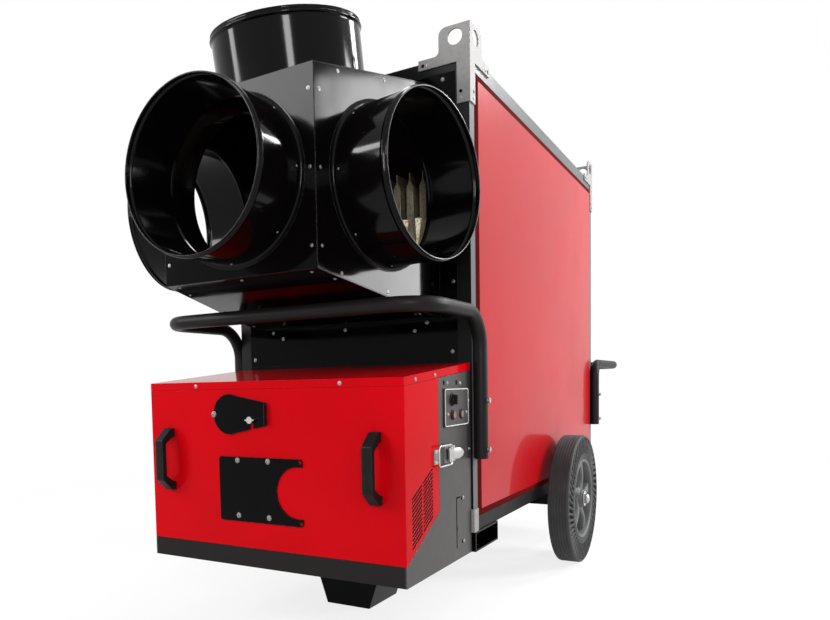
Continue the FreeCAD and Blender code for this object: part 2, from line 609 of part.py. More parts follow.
lug_turns = [math.pi / 2 * step / d.lug_steps.value for step in range(int(d.lug_steps.value) + 1)]
lug_fillet = [(d.bracket_lug + d.lug_fillet * (1 - math.sin(turn)),
               arm_top + d.lug_fillet * (1 - math.cos(turn))) for turn in lug_turns]
lug_round = [(d.bracket_lug - d.lug_corner * (1 - math.cos(turn)),
              bracket_top - d.lug_corner * (1 - math.sin(turn))) for turn in lug_turns]
lug_outline = [
    (0, bracket_low), (d.bracket_leg, bracket_low), (d.bracket_leg, arm_low),
    (d.bracket_arm, arm_low), (d.bracket_arm, arm_top), *lug_fillet, *lug_round, (0, bracket_top)]


def lift_bracket(edge, face, way):
    """A lifting bracket: two drilled plates folded round a top corner of the frame."""
    outer_y = max((edge, face), key=lambda s: s.value)
    end_plate = profile("XZ_Plane", [(cabinet_half - reach, z) for reach, z in lug_outline],
                        d.bracket_gauge, y=outer_y)
    side_plate = profile("YZ_Plane", [(edge + way * size(reach), z) for reach, z in lug_outline],
                         d.bracket_gauge, x=post_half)
    eye_y = sorted((edge - way * d.bracket_gauge, face + way * d.bracket_gauge),
                   key=lambda s: s.value)
    eyes = [rod(d.lift_eye_radius, eye_y[1] - eye_y[0], cabinet_half - d.lift_eye_inset, eye_y[0],
                lift_eye_height, Y_AXIS),
            rod(d.lift_eye_radius, 3 * d.bracket_gauge, post_half - d.bracket_gauge,
                edge + way * d.lift_eye_inset, lift_eye_height, X_AXIS)]
    return cut(fuse(end_plate, side_plate), *eyes)


def corner_plate(edge, face, way):
    """A small angle plate round a bottom corner of the frame."""
    along = sorted((edge, edge + way * d.corner_plate_width), key=lambda s: s.value)
    across = sorted((edge, face), key=lambda s: s.value)
    level = (d.chassis_bottom, d.corner_plate_top)
    return fuse(box((cabinet_half - d.corner_plate_width, cabinet_half), across, level),
                box((post_half, cabinet_half), along, level))


corners = ((cabinet_front, post_front, 1), (cabinet_rear, post_rear, -1))
brackets = [lift_bracket(*corner) for corner in corners]
feet = [corner_plate(*corner) for corner in corners]
fittings = brackets + feet
node("corner_brackets", group(*fittings, *[mirrored(piece) for piece in fittings]))

panel_y = (cabinet_front + d.bracket_leg, cabinet_rear - d.bracket_leg)
panel_z = (d.chassis_top, post_level[1])
side_panel = doc.addObject("Part::Wedge", "raised_panel")
panel_tall = panel_z[1] - panel_z[0]
panel_long = panel_y[1] - panel_y[0]
bind(side_panel, Ymin=0, Ymax=d.bracket_gauge, Xmin=0, Xmax=panel_long, X2min=d.panel_border,
     X2max=panel_long - d.panel_border, Zmin=0, Zmax=panel_tall, Z2min=d.panel_border,
     Z2max=panel_tall - d.panel_border)
place(side_panel, post_half, panel_y[1], panel_z[0],
      FreeCAD.Rotation(FreeCAD.Vector(0, 0, 1), -90))
node("side_panel_right", side_panel)
node("side_panel_left", mirrored(side_panel))
node("roof_panel", cut(
    box((-post_inner, post_inner), (post_front + d.frame_section, post_rear - d.frame_section),
        (d.cabinet_top - d.panel_skin, d.cabinet_top)),
    rod(d.flue_radius - 2 * d.flue_gauge, 3 * d.panel_skin, 0, d.flue_reach,
        d.cabinet_top - 2 * d.panel_skin)))
node("flue_collar", tube(d.flue_radius, d.flue_radius - d.flue_gauge, d.flue_height, 0,
                         d.flue_reach, d.cabinet_top))
front_skin = (post_front, post_front + d.panel_skin)
neck_half = d.plenum_rear_half
neck_z = (d.plenum_rear_bottom, d.plenum_rear_top)
neck_bore = box((d.plenum_gauge - neck_half, neck_half - d.plenum_gauge),
                (d.plenum_rear, post_front + d.frame_section),
                (neck_z[0] + d.plenum_gauge, neck_z[1] - d.plenum_gauge))
node("front_panel_upper", cut(
    fuse(box((-post_inner, post_inner), front_skin, (d.front_split_height, post_level[1])),
         box((-neck_half, neck_half), (d.plenum_rear, post_front), neck_z)),
    neck_bore))
node("front_panel_lower", cut(
    box((-post_inner, post_inner), front_skin, (d.chassis_top, d.front_split_height)),
    rod(d.blast_tube_radius, 5 * d.panel_skin, 0, post_front - d.panel_skin,
        d.burner_axis_height, Y_AXIS)))
# Rear panel with its inlet ring and the bars that carry the fan motor
ring_front = post_rear - d.fan_ring_depth
ring_radius = post_inner - d.fan_ring_margin
ring_outer = ring_radius + d.fan_ring_gauge
arm_front = ring_front - d.motor_arm
rear_sheet = cut(
    box((-post_inner, post_inner), (post_rear - d.panel_skin, post_rear), post_level),
    rod(ring_radius, 5 * d.panel_skin, 0, post_rear - 3 * d.panel_skin, d.fan_height,
        Y_AXIS))
inlet_ring = tube(ring_outer, ring_radius, d.fan_ring_depth, 0, ring_front, d.fan_height,
                  Y_AXIS)
motor_bars = fuse(
    box((-ring_outer, ring_outer), (arm_front, ring_front),
        (d.fan_height - d.motor_arm / 2, d.fan_height + d.motor_arm / 2)),
    box((-d.motor_arm / 2, d.motor_arm / 2), (arm_front, ring_front),
        (d.fan_height - ring_outer, d.fan_height + ring_outer)),
    rod(d.fan_hub_radius, d.motor_arm, 0, arm_front, d.fan_height, Y_AXIS))
shaft_way = rod(d.motor_shaft + d.moving_gap, 2 * d.motor_arm, 0, arm_front - d.motor_arm / 2,
                d.fan_height, Y_AXIS)
node("rear_panel", cut(fuse(rear_sheet, inlet_ring, motor_bars), shaft_way))

# Fan: motor, impeller and guard
fan_rear = post_rear - d.fan_setback
fan_front = fan_rear - d.fan_hub_depth
node("fan_motor", fuse(
    rod(d.motor_radius, d.motor_length, 0, arm_front - d.motor_length, d.fan_height, Y_AXIS),
    rod(d.motor_shaft, fan_rear - arm_front, 0, arm_front, d.fan_height, Y_AXIS)))
blades = []
for index in range(int(d.blade_count.value)):
    blade = doc.addObject("Part::Box", "blade")
    bind(blade, Length=d.blade_chord, Width=d.blade_gauge,
         Height=ring_radius - d.fan_tip_gap - d.blade_root)
    spin = FreeCAD.Rotation(FreeCAD.Vector(0, 1, 0), 360 / d.blade_count.value * index)
    twist = FreeCAD.Rotation(FreeCAD.Vector(0, 0, 1), d.blade_pitch.value)
    turn = spin.multiply(twist)
    corner = turn.multVec(FreeCAD.Vector(-0.5, 0, 0))
    lift = turn.multVec(FreeCAD.Vector(0, 0, 1))
    place(blade, d.blade_chord * corner.x + d.blade_root * lift.x,
          (fan_front + fan_rear) / 2 + d.blade_chord * corner.y + d.blade_root * lift.y,
          d.fan_height + d.blade_chord * corner.z + d.blade_root * lift.z, turn)
    blades.append(blade)
node("fan_impeller", cut(
    fuse(rod(d.fan_hub_radius, d.fan_hub_depth, 0, fan_front, d.fan_height, Y_AXIS), *blades),
    rod(d.motor_shaft + d.axle_clearance, 2 * d.fan_hub_depth, 0,
        fan_front - d.fan_hub_depth / 2, d.fan_height, Y_AXIS)))
guard_outer = ring_outer + d.guard_bar
guard_rings = [
    tube(guard_outer - index * d.guard_pitch, guard_outer - index * d.guard_pitch - d.guard_bar,
         d.guard_bar, 0, post_rear, d.fan_height, Y_AXIS)
    for index in range(int(d.guard_rings.value))]
guard_bars = [
    box((-guard_outer, guard_outer), (post_rear, post_rear + d.guard_bar),
        (d.fan_height - d.guard_bar / 2, d.fan_height + d.guard_bar / 2)),
    box((-d.guard_bar / 2, d.guard_bar / 2), (post_rear, post_rear + d.guard_bar),
        (d.fan_height - guard_outer, d.fan_height + guard_outer))]
node("fan_guard", fuse(*guard_rings, *guard_bars))

# Tapered outlet plenum: five folded sheets
sheet_t = d.plenum_gauge
near_y = -d.plenum_reach
near_z = (d.plenum_front_bottom, d.plenum_front_top)
far_z = neck_z
near_h = d.plenum_front_half
far_h = neck_half
plenum_long = d.plenum_rear + d.plenum_reach
flare = math.degrees(math.atan2((far_h - near_h).value, plenum_long.value))
pitch = math.degrees(math.atan2((far_z[1] - near_z[1]).value, plenum_long.value))
body_y = (near_y + sheet_t, d.plenum_rear)
# the folded sheets start one gauge behind the front sheet, on the same slopes
start = sheet_t / plenum_long
start_half = near_h + (far_h - near_h) * start
start_top = near_z[1] + (far_z[1] - near_z[1]) * start
start_bottom = near_z[0] + (far_z[0] - near_z[0]) * start
front_sheet = box((-near_h, near_h), (near_y, near_y + sheet_t), near_z)
side_sheet = wedge(body_y, (start_half - sheet_t, start_half), (far_h - sheet_t, far_h),
                   (start_bottom + sheet_t, start_top - sheet_t),
                   (far_z[0] + sheet_t, far_z[1] - sheet_t))
top_sheet = wedge(body_y, (-start_half, start_half), (-far_h, far_h),
                  (start_top - sheet_t, start_top), (far_z[1] - sheet_t, far_z[1]))
bottom_sheet = wedge(body_y, (-start_half, start_half), (-far_h, far_h),
                     (start_bottom, start_bottom + sheet_t), (far_z[0], far_z[0] + sheet_t))

# Duct spigots, each square to the sheet that carries it
side_fraction = (d.side_spigot_reach + d.plenum_reach) / plenum_long
side_seat_x = near_h + (far_h - near_h) * side_fraction
top_fraction = (d.top_spigot_reach + d.plenum_reach) / plenum_long
top_seat_z = near_z[1] + (far_z[1] - near_z[1]) * top_fraction
front_turn = FreeCAD.Rotation(FreeCAD.Vector(1, 0, 0), 90)
side_turn = FreeCAD.Rotation(FreeCAD.Vector(0, 0, 1), -flare).multiply(X_AXIS)
top_turn = FreeCAD.Rotation(FreeCAD.Vector(1, 0, 0), pitch)
spigot_bore = d.spigot_radius - d.spigot_gauge


def spigot(seat, length, inward):
    """A flanged duct collar with a bead near its mouth and a sleeve inside the plenum."""
    bead = length - d.bead_inset
    return turned([
        (spigot_bore, -inward), (d.spigot_radius, -inward), (d.spigot_radius, 0),
        (d.spigot_radius + d.spigot_flange, 0), (d.spigot_radius + d.spigot_flange, d.spigot_gauge),
        (d.spigot_radius, d.spigot_gauge), (d.spigot_radius, bead - 2 * d.bead_radius),
        (d.spigot_radius + d.bead_radius, bead - 1.5 * d.bead_radius),
        (d.spigot_radius + d.bead_radius, bead - d.bead_radius / 2), (d.spigot_radius, bead),
        (d.spigot_radius, length), (spigot_bore, length)], *seat)


spigot_seats = {
    "front": (0, near_y, d.spigot_height, front_turn),
    "right": (side_seat_x, d.side_spigot_reach, d.spigot_height, side_turn),
    "top": (0, d.top_spigot_reach, top_seat_z, top_turn)}


def bore_tool(x, y, z, turn):
    """The round hole that a spigot needs through its sheet."""
    depth = d.bore_reach
    axis = turn.multVec(FreeCAD.Vector(0, 0, 1))
    return rod(d.spigot_radius, 2 * depth, x - depth * axis.x, y - depth * axis.y,
               z - depth * axis.z, turn)


node("plenum_front", cut(front_sheet, bore_tool(*spigot_seats["front"])))
right_sheet = node("plenum_right", cut(side_sheet, bore_tool(*spigot_seats["right"])))
node("plenum_left", mirrored(right_sheet))
node("plenum_top", cut(top_sheet, bore_tool(*spigot_seats["top"])))
node("plenum_bottom", bottom_sheet)
node("spigot_front", spigot(spigot_seats["front"], d.spigot_length, d.front_spigot_inward))
right_spigot = node("spigot_right", spigot(spigot_seats["right"], d.spigot_length, d.spigot_inward))
node("spigot_left", mirrored(right_spigot))
node("spigot_top", spigot(spigot_seats["top"], d.top_spigot_length, d.spigot_inward))


# Bent push rails
def rail(name, foot, height, leg_y, bar_y, radius):
    """A tube bent into two legs, two arms and a cross bar."""
    half = rail_half.value
    shift = middle.value
    bend = radius.value
    way = 1 if bar_y.value > leg_y.value else -1
    low, top = foot.value, height.value
    near, far = leg_y.value - shift, bar_y.value - shift
    vec = FreeCAD.Vector
    root = math.sqrt(0.5)
    right = [
        Part.LineSegment(vec(half, near, low), vec(half, near, top - bend)),
        Part.Arc(vec(half, near, top - bend),
                 vec(half, near + way * bend * (1 - root), top - bend * (1 - root)),
                 vec(half, near + way * bend, top)),
        Part.LineSegment(vec(half, near + way * bend, top), vec(half, far - way * bend, top)),
        Part.Arc(vec(half, far - way * bend, top),
                 vec(half - bend * (1 - root), far - way * bend * (1 - root), top),
                 vec(half - bend, far, top))]
    bar = Part.LineSegment(vec(half - bend, far, top), vec(bend - half, far, top))
    edges = [piece.toShape() for piece in right]
    mirror = [edge.mirror(vec(0, 0, 0), vec(1, 0, 0)) for edge in reversed(edges)]
    path = Part.Wire(Part.__sortEdges__(edges + [bar.toShape()] + mirror))

    def pipe(size):
        ring = Part.Wire(Part.makeCircle(size, vec(half, near, low), vec(0, 0, 1)))
        return path.makePipeShell([ring], True, False, 2)

    obj = doc.addObject("Part::Feature", name)
    obj.Shape = pipe(d.rail_radius.value).cut(pipe(d.rail_bore.value))
    return node(name, obj)


rail_half = post_half + d.rail_radius
front_leg = cabinet_front + d.rail_inset
rear_leg = cabinet_rear - d.rail_inset
rail("push_rail_front", d.rail_foot, d.rail_height, front_leg, front_leg - d.rail_reach,
     d.rail_bend)
rail("push_rail_rear", d.rear_rail_foot, d.rear_rail_height, rear_leg,
     rear_leg + d.rear_rail_reach, d.rear_rail_bend)
bolt_face = rail_half + d.rail_radius
rail_bolts = []
for leg_y, foot, levels in (
        (front_leg, d.rail_foot, (d.rail_bolt_low, d.rail_bolt_high)),
        (rear_leg, d.rear_rail_foot, (d.rail_bolt_low, d.rear_rail_bolt_high))):
    for level in levels:
        bolt = rod(d.rail_bolt_radius, d.rail_bolt_head, bolt_face, leg_y, foot + level, X_AXIS)
        rail_bolts += [bolt, mirrored(bolt)]
node("rail_bolts", group(*rail_bolts))

# Burner, furnace and heat exchanger
burner_front = post_front - d.burner_case_depth
node("blast_tube", tube(d.blast_tube_radius, d.blast_tube_radius - d.furnace_gauge,
                        d.furnace_start - post_front, 0, post_front,
                        d.burner_axis_height, Y_AXIS))
node("burner_case", cut(
    rod(d.burner_case_radius, d.burner_case_depth, 0, burner_front, d.burner_axis_height, Y_AXIS),
    rod(d.burner_case_radius - d.furnace_gauge, d.burner_case_depth, 0,
        burner_front + d.furnace_gauge, d.burner_axis_height, Y_AXIS)))
node("burner_motor", rod(d.burner_motor_radius, d.burner_motor_length, d.burner_case_radius,
                         burner_front + d.burner_case_depth / 2, d.burner_axis_height, X_AXIS))

furnace_shell = cut(
    rod(d.furnace_radius, d.furnace_length, 0, d.furnace_start, d.furnace_height, Y_AXIS),
    rod(d.furnace_radius - d.furnace_gauge, d.furnace_length - 2 * d.furnace_gauge, 0,
        d.furnace_start + d.furnace_gauge, d.furnace_height, Y_AXIS))
node("furnace", cut(furnace_shell, rod(
    d.blast_tube_radius - d.furnace_gauge, 3 * d.furnace_gauge, 0,
    d.furnace_start - d.furnace_gauge, d.burner_axis_height, Y_AXIS)))
header_half = (d.element_count * d.element_pitch) / 2
header_low = d.furnace_height + d.furnace_radius
header_z = (header_low, d.header_top)
element_y = (d.element_start, d.element_start + d.element_length)
wall = d.furnace_gauge
header = cut(
    box((-header_half, header_half), element_y, header_z),
    box((wall - header_half, header_half - wall), (element_y[0] + wall, element_y[1] + wall),
        (header_z[0] + wall, header_z[1] - wall)))


def element(across, inset):
    """A flat upright tube with a pointed crest, or its hollow when inset."""
    half = d.element_width / 2 - inset
    return profile(
        "XZ_Plane",
        [(-half, d.header_top + inset), (half, d.header_top + inset), (half, d.element_shoulder),
         (0, d.element_peak - 2 * inset), (-half, d.element_shoulder)],
        d.element_length, x=across, y=element_y[1] + inset)


elements = []
for index in range(int(d.element_count.value)):
    across = (index + 0.5) * d.element_pitch - header_half
    elements.append(cut(element(across, size(0)), element(across, wall)))
node("heat_exchanger", fuse(header, *elements))
node("cable_gland", tube(d.gland_radius, d.gland_radius / 2, d.gland_length, post_inner / 2,
                         post_rear, d.chassis_top + d.gland_rise, Y_AXIS))

doc.recompute()
for obj in doc.Objects:
    if "Invalid" in obj.State or "Error" in obj.State:
        raise RuntimeError(f"{obj.Name} ({obj.Label}) failed: {obj.State}")
os.makedirs("parts", exist_ok=True)
for name, obj in nodes.items():
    shape = obj.Shape
    if shape.isNull() or not shape.isValid():
        raise RuntimeError(f"{name} has no valid shape")
    shape.exportStep(f"parts/{name}.step")
print(f"{len(nodes)} sub-parts written")
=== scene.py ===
"""Dressed scene of a mobile hot air generator.

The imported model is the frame: metres, +Z up, the burner end towards -Y.  Heights and reaches
in the classes below are millimetres, with Y counted from the burner hood's front face.
"""
import logging
import math
from dataclasses import dataclass, replace
from enum import Enum
from typing import Callable, Iterable, Sequence

import bmesh
import bpy
from mathutils import Matrix, Vector


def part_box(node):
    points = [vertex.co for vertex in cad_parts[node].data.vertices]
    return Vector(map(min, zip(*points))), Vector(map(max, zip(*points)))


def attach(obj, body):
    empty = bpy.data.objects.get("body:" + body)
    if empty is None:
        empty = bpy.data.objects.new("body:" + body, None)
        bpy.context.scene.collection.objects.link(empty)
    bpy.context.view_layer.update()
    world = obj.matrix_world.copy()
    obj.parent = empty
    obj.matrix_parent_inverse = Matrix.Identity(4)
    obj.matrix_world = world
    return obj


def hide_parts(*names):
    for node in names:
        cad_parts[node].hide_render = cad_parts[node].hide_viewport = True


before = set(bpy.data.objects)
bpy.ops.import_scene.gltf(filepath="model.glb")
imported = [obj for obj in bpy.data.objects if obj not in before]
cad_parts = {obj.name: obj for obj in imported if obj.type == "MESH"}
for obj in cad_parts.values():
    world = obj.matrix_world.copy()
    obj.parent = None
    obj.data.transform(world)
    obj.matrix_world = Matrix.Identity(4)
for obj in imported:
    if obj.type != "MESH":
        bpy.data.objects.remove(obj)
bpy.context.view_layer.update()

MM = 0.001
HOOD_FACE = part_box("burner_hood")[0][1]
LOG = logging.getLogger("hot_air_generator")

Colour = tuple[float, float, float]
Pair = tuple[float, float]
Triple = tuple[float, float, float]
Spots = tuple[Pair, ...]

FORWARD: Triple = (0.0, -1.0, 0.0)
SIDES: tuple[tuple[str, int], ...] = (("right", 1), ("left", -1))


def row(x: float, y: float, z: float) -> Vector:
    """A point in metres from millimetres, with Y counted from the hood's front face."""
    return Vector((x * MM, y * MM + HOOD_FACE, z * MM))


def facing(axis: Sequence[float], at: Vector) -> Matrix:
    """A frame at a point whose Z looks along an axis.

    Args:
        axis: the direction of the frame's Z.
        at: the frame's origin in metres.

    Returns:
        The matrix from that frame to the row frame.
    """
    return Matrix.Translation(at) @ Vector(axis).to_track_quat("Z", "Y").to_matrix().to_4x4()


def swapped(at: Vector, order: str) -> Matrix:
    """A frame at a point with its axes u, v and w in another order.

    Args:
        at: the frame's origin in metres.
        order: the axes that become X, Y and Z, such as wuv.

    Returns:
        The matrix from that frame to the row frame.
    """
    return Matrix.Translation(at) @ Matrix([[axis == name for axis in "uvw"] for name in order]).to_4x4()


def oblong(u: Pair, v: Pair) -> list[Pair]:
    """The corners of an oblong, from its bounds both ways."""
    return [(u[0], v[0]), (u[1], v[0]), (u[1], v[1]), (u[0], v[1])]


def mirrored(half: Sequence[Pair]) -> list[Pair]:
    """An outline from the half of it where the second number is positive."""
    return [*half, *((u, -v) for u, v in reversed(half))]


def tinted(colour: Colour, share: float) -> Colour:
    """A colour made lighter or darker."""
    return tuple(min(1.0, part * share) for part in colour)


class Wire:
    """A shader output that takes part in Python arithmetic."""

    def __init__(self, graph: "Graph", socket: bpy.types.NodeSocket) -> None:
        """Keep the socket and the graph it belongs to."""
        self.graph = graph
        self.socket = socket

    def maths(self, operation: str, first: object, second: object) -> "Wire":
        """Add one Math node."""
        return self.graph.add("ShaderNodeMath", {0: first, 1: second}, operation=operation)

    def __add__(self, other: object) -> "Wire":
        """The sum."""
        return self.maths("ADD", self, other)

    __radd__ = __add__

    def __sub__(self, other: object) -> "Wire":
        """The difference."""
        return self.maths("SUBTRACT", self, other)

    def __rsub__(self, other: object) -> "Wire":
        """The difference, the other way round."""
        return self.maths("SUBTRACT", other, self)

    def __mul__(self, other: object) -> "Wire":
        """The product."""
        return self.maths("MULTIPLY", self, other)

    __rmul__ = __mul__

    def __gt__(self, other: object) -> "Wire":
        """One where this is larger, else zero."""
        return self.maths("GREATER_THAN", self, other)

    def __lt__(self, other: object) -> "Wire":
        """One where this is smaller, else zero."""
        return self.maths("LESS_THAN", self, other)

    def __abs__(self) -> "Wire":
        """The size without its sign."""
        return self.maths("ABSOLUTE", self, 0.0)

    def larger(self, other: object) -> "Wire":
        """The larger of the two."""
        return self.maths("MAXIMUM", self, other)

    def between(self, low: float, high: float) -> "Wire":
        """A soft step from zero at low to one at high."""
        return self.graph.add("ShaderNodeMapRange", {"Value": self, "From Min": low, "From Max": high},
                              interpolation_type="SMOOTHSTEP")


class Graph:
    """The nodes of one material or of the world."""

    def __init__(self, tree: bpy.types.NodeTree) -> None:
        """Start from an empty tree."""
        self.tree = tree
        tree.nodes.clear()

    def make(self, kind: str, inputs: dict[object, object], **settings: object) -> bpy.types.Node:
        """Add a node of any type.

        Args:
            kind: the node's type.
            inputs: values or wires by socket name or number.
            settings: its properties, set first; stops gives a ramp's positions and colours.

        Returns:
            The node.
        """
        node = self.tree.nodes.new(kind)
        for place, (at, colour) in enumerate(settings.pop("stops", ())):
            ramp = node.color_ramp.elements
            stop = ramp[place] if place < len(ramp) else ramp.new(at)
            stop.position, stop.color = at, (*colour, 1.0)
        for name, value in settings.items():
            setattr(node, name, value)
        for name, value in inputs.items():
            socket = node.inputs[name]
            if isinstance(value, Wire):
                self.tree.links.new(value.socket, socket)
            else:
                socket.default_value = (*value, 1.0) if socket.type == "RGBA" else value
        return node

    def add(self, kind: str, inputs: dict[object, object], output: object = 0, **settings: object) -> Wire:
        """Add a node and give one of its outputs as a wire."""
        return Wire(self, self.make(kind, inputs, **settings).outputs[output])

    def place(self) -> Wire:
        """The point in the piece's own frame, in metres."""
        return self.add("ShaderNodeTexCoord", {}, "Object")

    def noise(self, scale: float, detail: float) -> Wire:
        """Soft noise from zero to one, with features of about one over scale metres."""
        return self.add("ShaderNodeTexNoise", {"Vector": self.place(), "Scale": scale, "Detail": detail})

    def blend(self, share: object, first: object, second: object) -> Wire:
        """A colour between two colours."""
        return self.add("ShaderNodeMix", {0: share, 6: first, 7: second}, 2, data_type="RGBA")

    def mottled(self, colour: Colour, shade: float) -> Wire:
        """A paint's colour with its slow unevenness."""
        cloud = self.noise(2.3, 3.0).between(0.35, 0.7)
        return self.blend(cloud, colour, tinted(colour, shade))

    def sideways(self, square: float) -> Wire:
        """One on faces that look to the sides, else zero."""
        look = self.add("ShaderNodeNewGeometry", {}, "True Normal")
        return abs(self.add("ShaderNodeSeparateXYZ", {"Vector": look}, "X")) > square

    def edge(self, radius: float) -> tuple[Wire, Wire]:
        """Rounded edges for a sharp solid.

        Args:
            radius: how far from an edge the rounding reaches, in metres.

        Returns:
            The rounded normal, and a mask that is one on the edges.
        """
        rounded = self.add("ShaderNodeBevel", {"Radius": radius}, samples=4)
        flat = self.add("ShaderNodeNewGeometry", {}, "Normal")
        along = self.add("ShaderNodeVectorMath", {0: rounded, 1: flat}, "Value", operation="DOT_PRODUCT")
        return rounded, (1.0 - along).between(0.01, 0.18)

    def bump(self, height: Wire, strength: float, distance: float, normal: Wire | None = None) -> Wire:
        """A normal that follows a height.

        Args:
            height: what the normal follows.
            strength: the share of the effect, up to one.
            distance: the depth of the relief in metres.
            normal: the normal underneath, if it isn't the mesh's own.

        Returns:
            The normal.
        """
        inputs = {"Height": height, "Strength": strength, "Distance": distance}
        if normal is not None:
            inputs["Normal"] = normal
        return self.add("ShaderNodeBump", inputs, "Normal")

    def surface(self, **inputs: object) -> None:
        """End a material in one Principled shader, given its sockets by name with underscores."""
        named = {name.replace("_", " "): value for name, value in inputs.items()}
        shader = self.add("ShaderNodeBsdfPrincipled", named, "BSDF")
        self.make("ShaderNodeOutputMaterial", {"Surface": shader})


@dataclass(frozen=True)
class Finish:
    """A surface finish, made once and shared by the pieces that have it."""

    name: str
    slot: str
    colour: Colour

    def dress(self, graph: Graph) -> None:
        """Build the finish's nodes."""
        raise NotImplementedError

    def material(self) -> bpy.types.Material:
        """The finish's material, built on first use.

        Returns:
            The material, shared by all pieces of this finish.
        """
        found = bpy.data.materials.get(self.name)
        if found is None:
            found = bpy.data.materials.new(self.name)
            found.use_nodes = True
            self.dress(Graph(found.node_tree))
        return found


@dataclass(frozen=True)
class Enamel(Finish):
    """Sprayed paint with a little orange peel and paint thinned over the sheet's edges."""

    worn: Colour
    roughness: float = 0.14
    specular: float = 0.4
    peel: float = 0.035
    edge_radius: float = 0.0013
    wear: float = 0.3

    def tone(self, graph: Graph) -> Wire:
        """The colour under the wear."""
        return graph.mottled(self.colour, 0.86)

    def dress(self, graph: Graph) -> None:
        """Build the paint's nodes.

        Args:
            graph: the material's empty graph.
        """
        normal, rim = graph.edge(self.edge_radius)
        chips = graph.noise(160.0, 4.0).between(0.38, 0.62)
        colour = graph.blend(rim * chips * self.wear, self.tone(graph), self.worn)
        smears = graph.noise(9.0, 5.0).between(0.45, 0.75)
        peel = graph.bump(graph.noise(330.0, 1.0), self.peel, 0.0006, normal)
        graph.surface(Base_Color=colour, Roughness=smears * 0.07 + self.roughness, Normal=peel,
                      Specular_IOR_Level=self.specular)


@dataclass(frozen=True)
class SideLitEnamel(Enamel):
    """Paint whose faces that look to the sides take a lighter colour, as painted light, while the other faces
    keep the paint's colour.
    """

    # side is painted light: a paler grey for the faces that look to the sides.
    side: Colour = (0.3, 0.3, 0.3)
    square: float = 0.7

    def tone(self, graph: Graph) -> Wire:
        """Pick the colour by the way the face looks: the side faces get the painted light colour."""
        return graph.blend(graph.sideways(self.square), Enamel.tone(self, graph), self.side)


@dataclass(frozen=True)
class ShadedBorderEnamel(Finish):
    """Clear-coated sheet paint whose sloping border is bare of the coat and painted a darker red, as painted
    shade.
    """

    # border is the painted shade colour of the sloping border faces.
    border: Colour
    roughness: float = 0.32
    specular: float = 0.05
    coat_index: float = 1.085
    square: float = 0.99

    def dress(self, graph: Graph) -> None:
        """Build the panel's nodes.

        Args:
            graph: the material's empty graph.
        """
        normal, _ = graph.edge(0.001)
        face = graph.sideways(self.square)
        # Painted shade: the sloping border faces take the dark border colour.
        colour = graph.blend(face, self.border, graph.mottled(self.colour, 0.9))
        smears = graph.noise(6.0, 5.0).between(0.45, 0.75)
        rough = face * (smears * 0.05 + self.roughness - 1.0) + 1.0
        graph.surface(Base_Color=colour, Roughness=rough, Specular_IOR_Level=self.specular, Coat_Weight=face,
                      Coat_Roughness=0.03, Coat_IOR=self.coat_index,
                      Normal=graph.bump(graph.noise(300.0, 1.0), 0.008, 0.0005, normal))


@dataclass(frozen=True)
class Powder(Finish):
    """Fine-textured powder coat."""

    worn: Colour
    roughness: float = 0.38
    grain: float = 900.0
    depth: float = 0.12
    specular: float = 0.45
    edge_radius: float = 0.0012

    def dress(self, graph: Graph) -> None:
        """Build the coat's nodes.

        Args:
            graph: the material's empty graph.
        """
        normal, rim = graph.edge(self.edge_radius)
        chips = graph.noise(140.0, 4.0).between(0.4, 0.65)
        cloud = graph.blend(graph.noise(4.0, 4.0), tinted(self.colour, 0.8), tinted(self.colour, 1.25))
        colour = graph.blend(rim * chips * 0.45, cloud, self.worn)
        texture = graph.bump(graph.noise(self.grain, 2.0), self.depth, 0.0004, normal)
        graph.surface(Base_Color=colour, Roughness=graph.noise(35.0, 4.0) * 0.14 + self.roughness,
                      Normal=texture, Specular_IOR_Level=self.specular)


@dataclass(frozen=True)
class Galvanised(Finish):
    """Zinc-coated sheet with a faint crystal spangle and rolling marks."""

    spangle: float = 120.0
    roughness: float = 0.4
    contrast: float = 0.3
    metal: float = 0.3

    def dress(self, graph: Graph) -> None:
        """Build the zinc's nodes.

        Args:
            graph: the material's empty graph.
        """
        normal, rim = graph.edge(0.001)
        crystal = graph.add("ShaderNodeTexVoronoi", {"Vector": graph.place(), "Scale": self.spangle}, "Color")
        tone = graph.add("ShaderNodeSeparateColor", {"Color": crystal}, "Red")
        cloud = graph.noise(7.0, 4.0)
        share = tone * self.contrast + cloud * (1.0 - self.contrast)
        colour = graph.blend(share.between(0.1, 0.9), tinted(self.colour, 0.84), tinted(self.colour, 1.12))
        # Painted highlight: every edge is painted lighter.
        colour = graph.blend(rim * 0.35, colour, tinted(self.colour, 1.35))
        scratch = graph.bump(graph.noise(420.0, 3.0), 0.05, 0.0003, normal)
        graph.surface(Base_Color=colour, Metallic=self.metal, Normal=scratch,
                      Roughness=tone * 0.1 * self.contrast + cloud * 0.12 + self.roughness)


@dataclass(frozen=True)
class BrightMetal(Finish):
    """Plated metal with faint handling marks."""

    roughness: float = 0.22

    def dress(self, graph: Graph) -> None:
        """Build the plating's nodes.

        Args:
            graph: the material's empty graph.
        """
        marks = graph.noise(260.0, 5.0)
        colour = graph.blend(marks.between(0.35, 0.75), self.colour, tinted(self.colour, 0.82))
        graph.surface(Base_Color=colour, Metallic=1.0, Roughness=marks * 0.14 + self.roughness,
                      Normal=graph.bump(marks, 0.04, 0.0002))


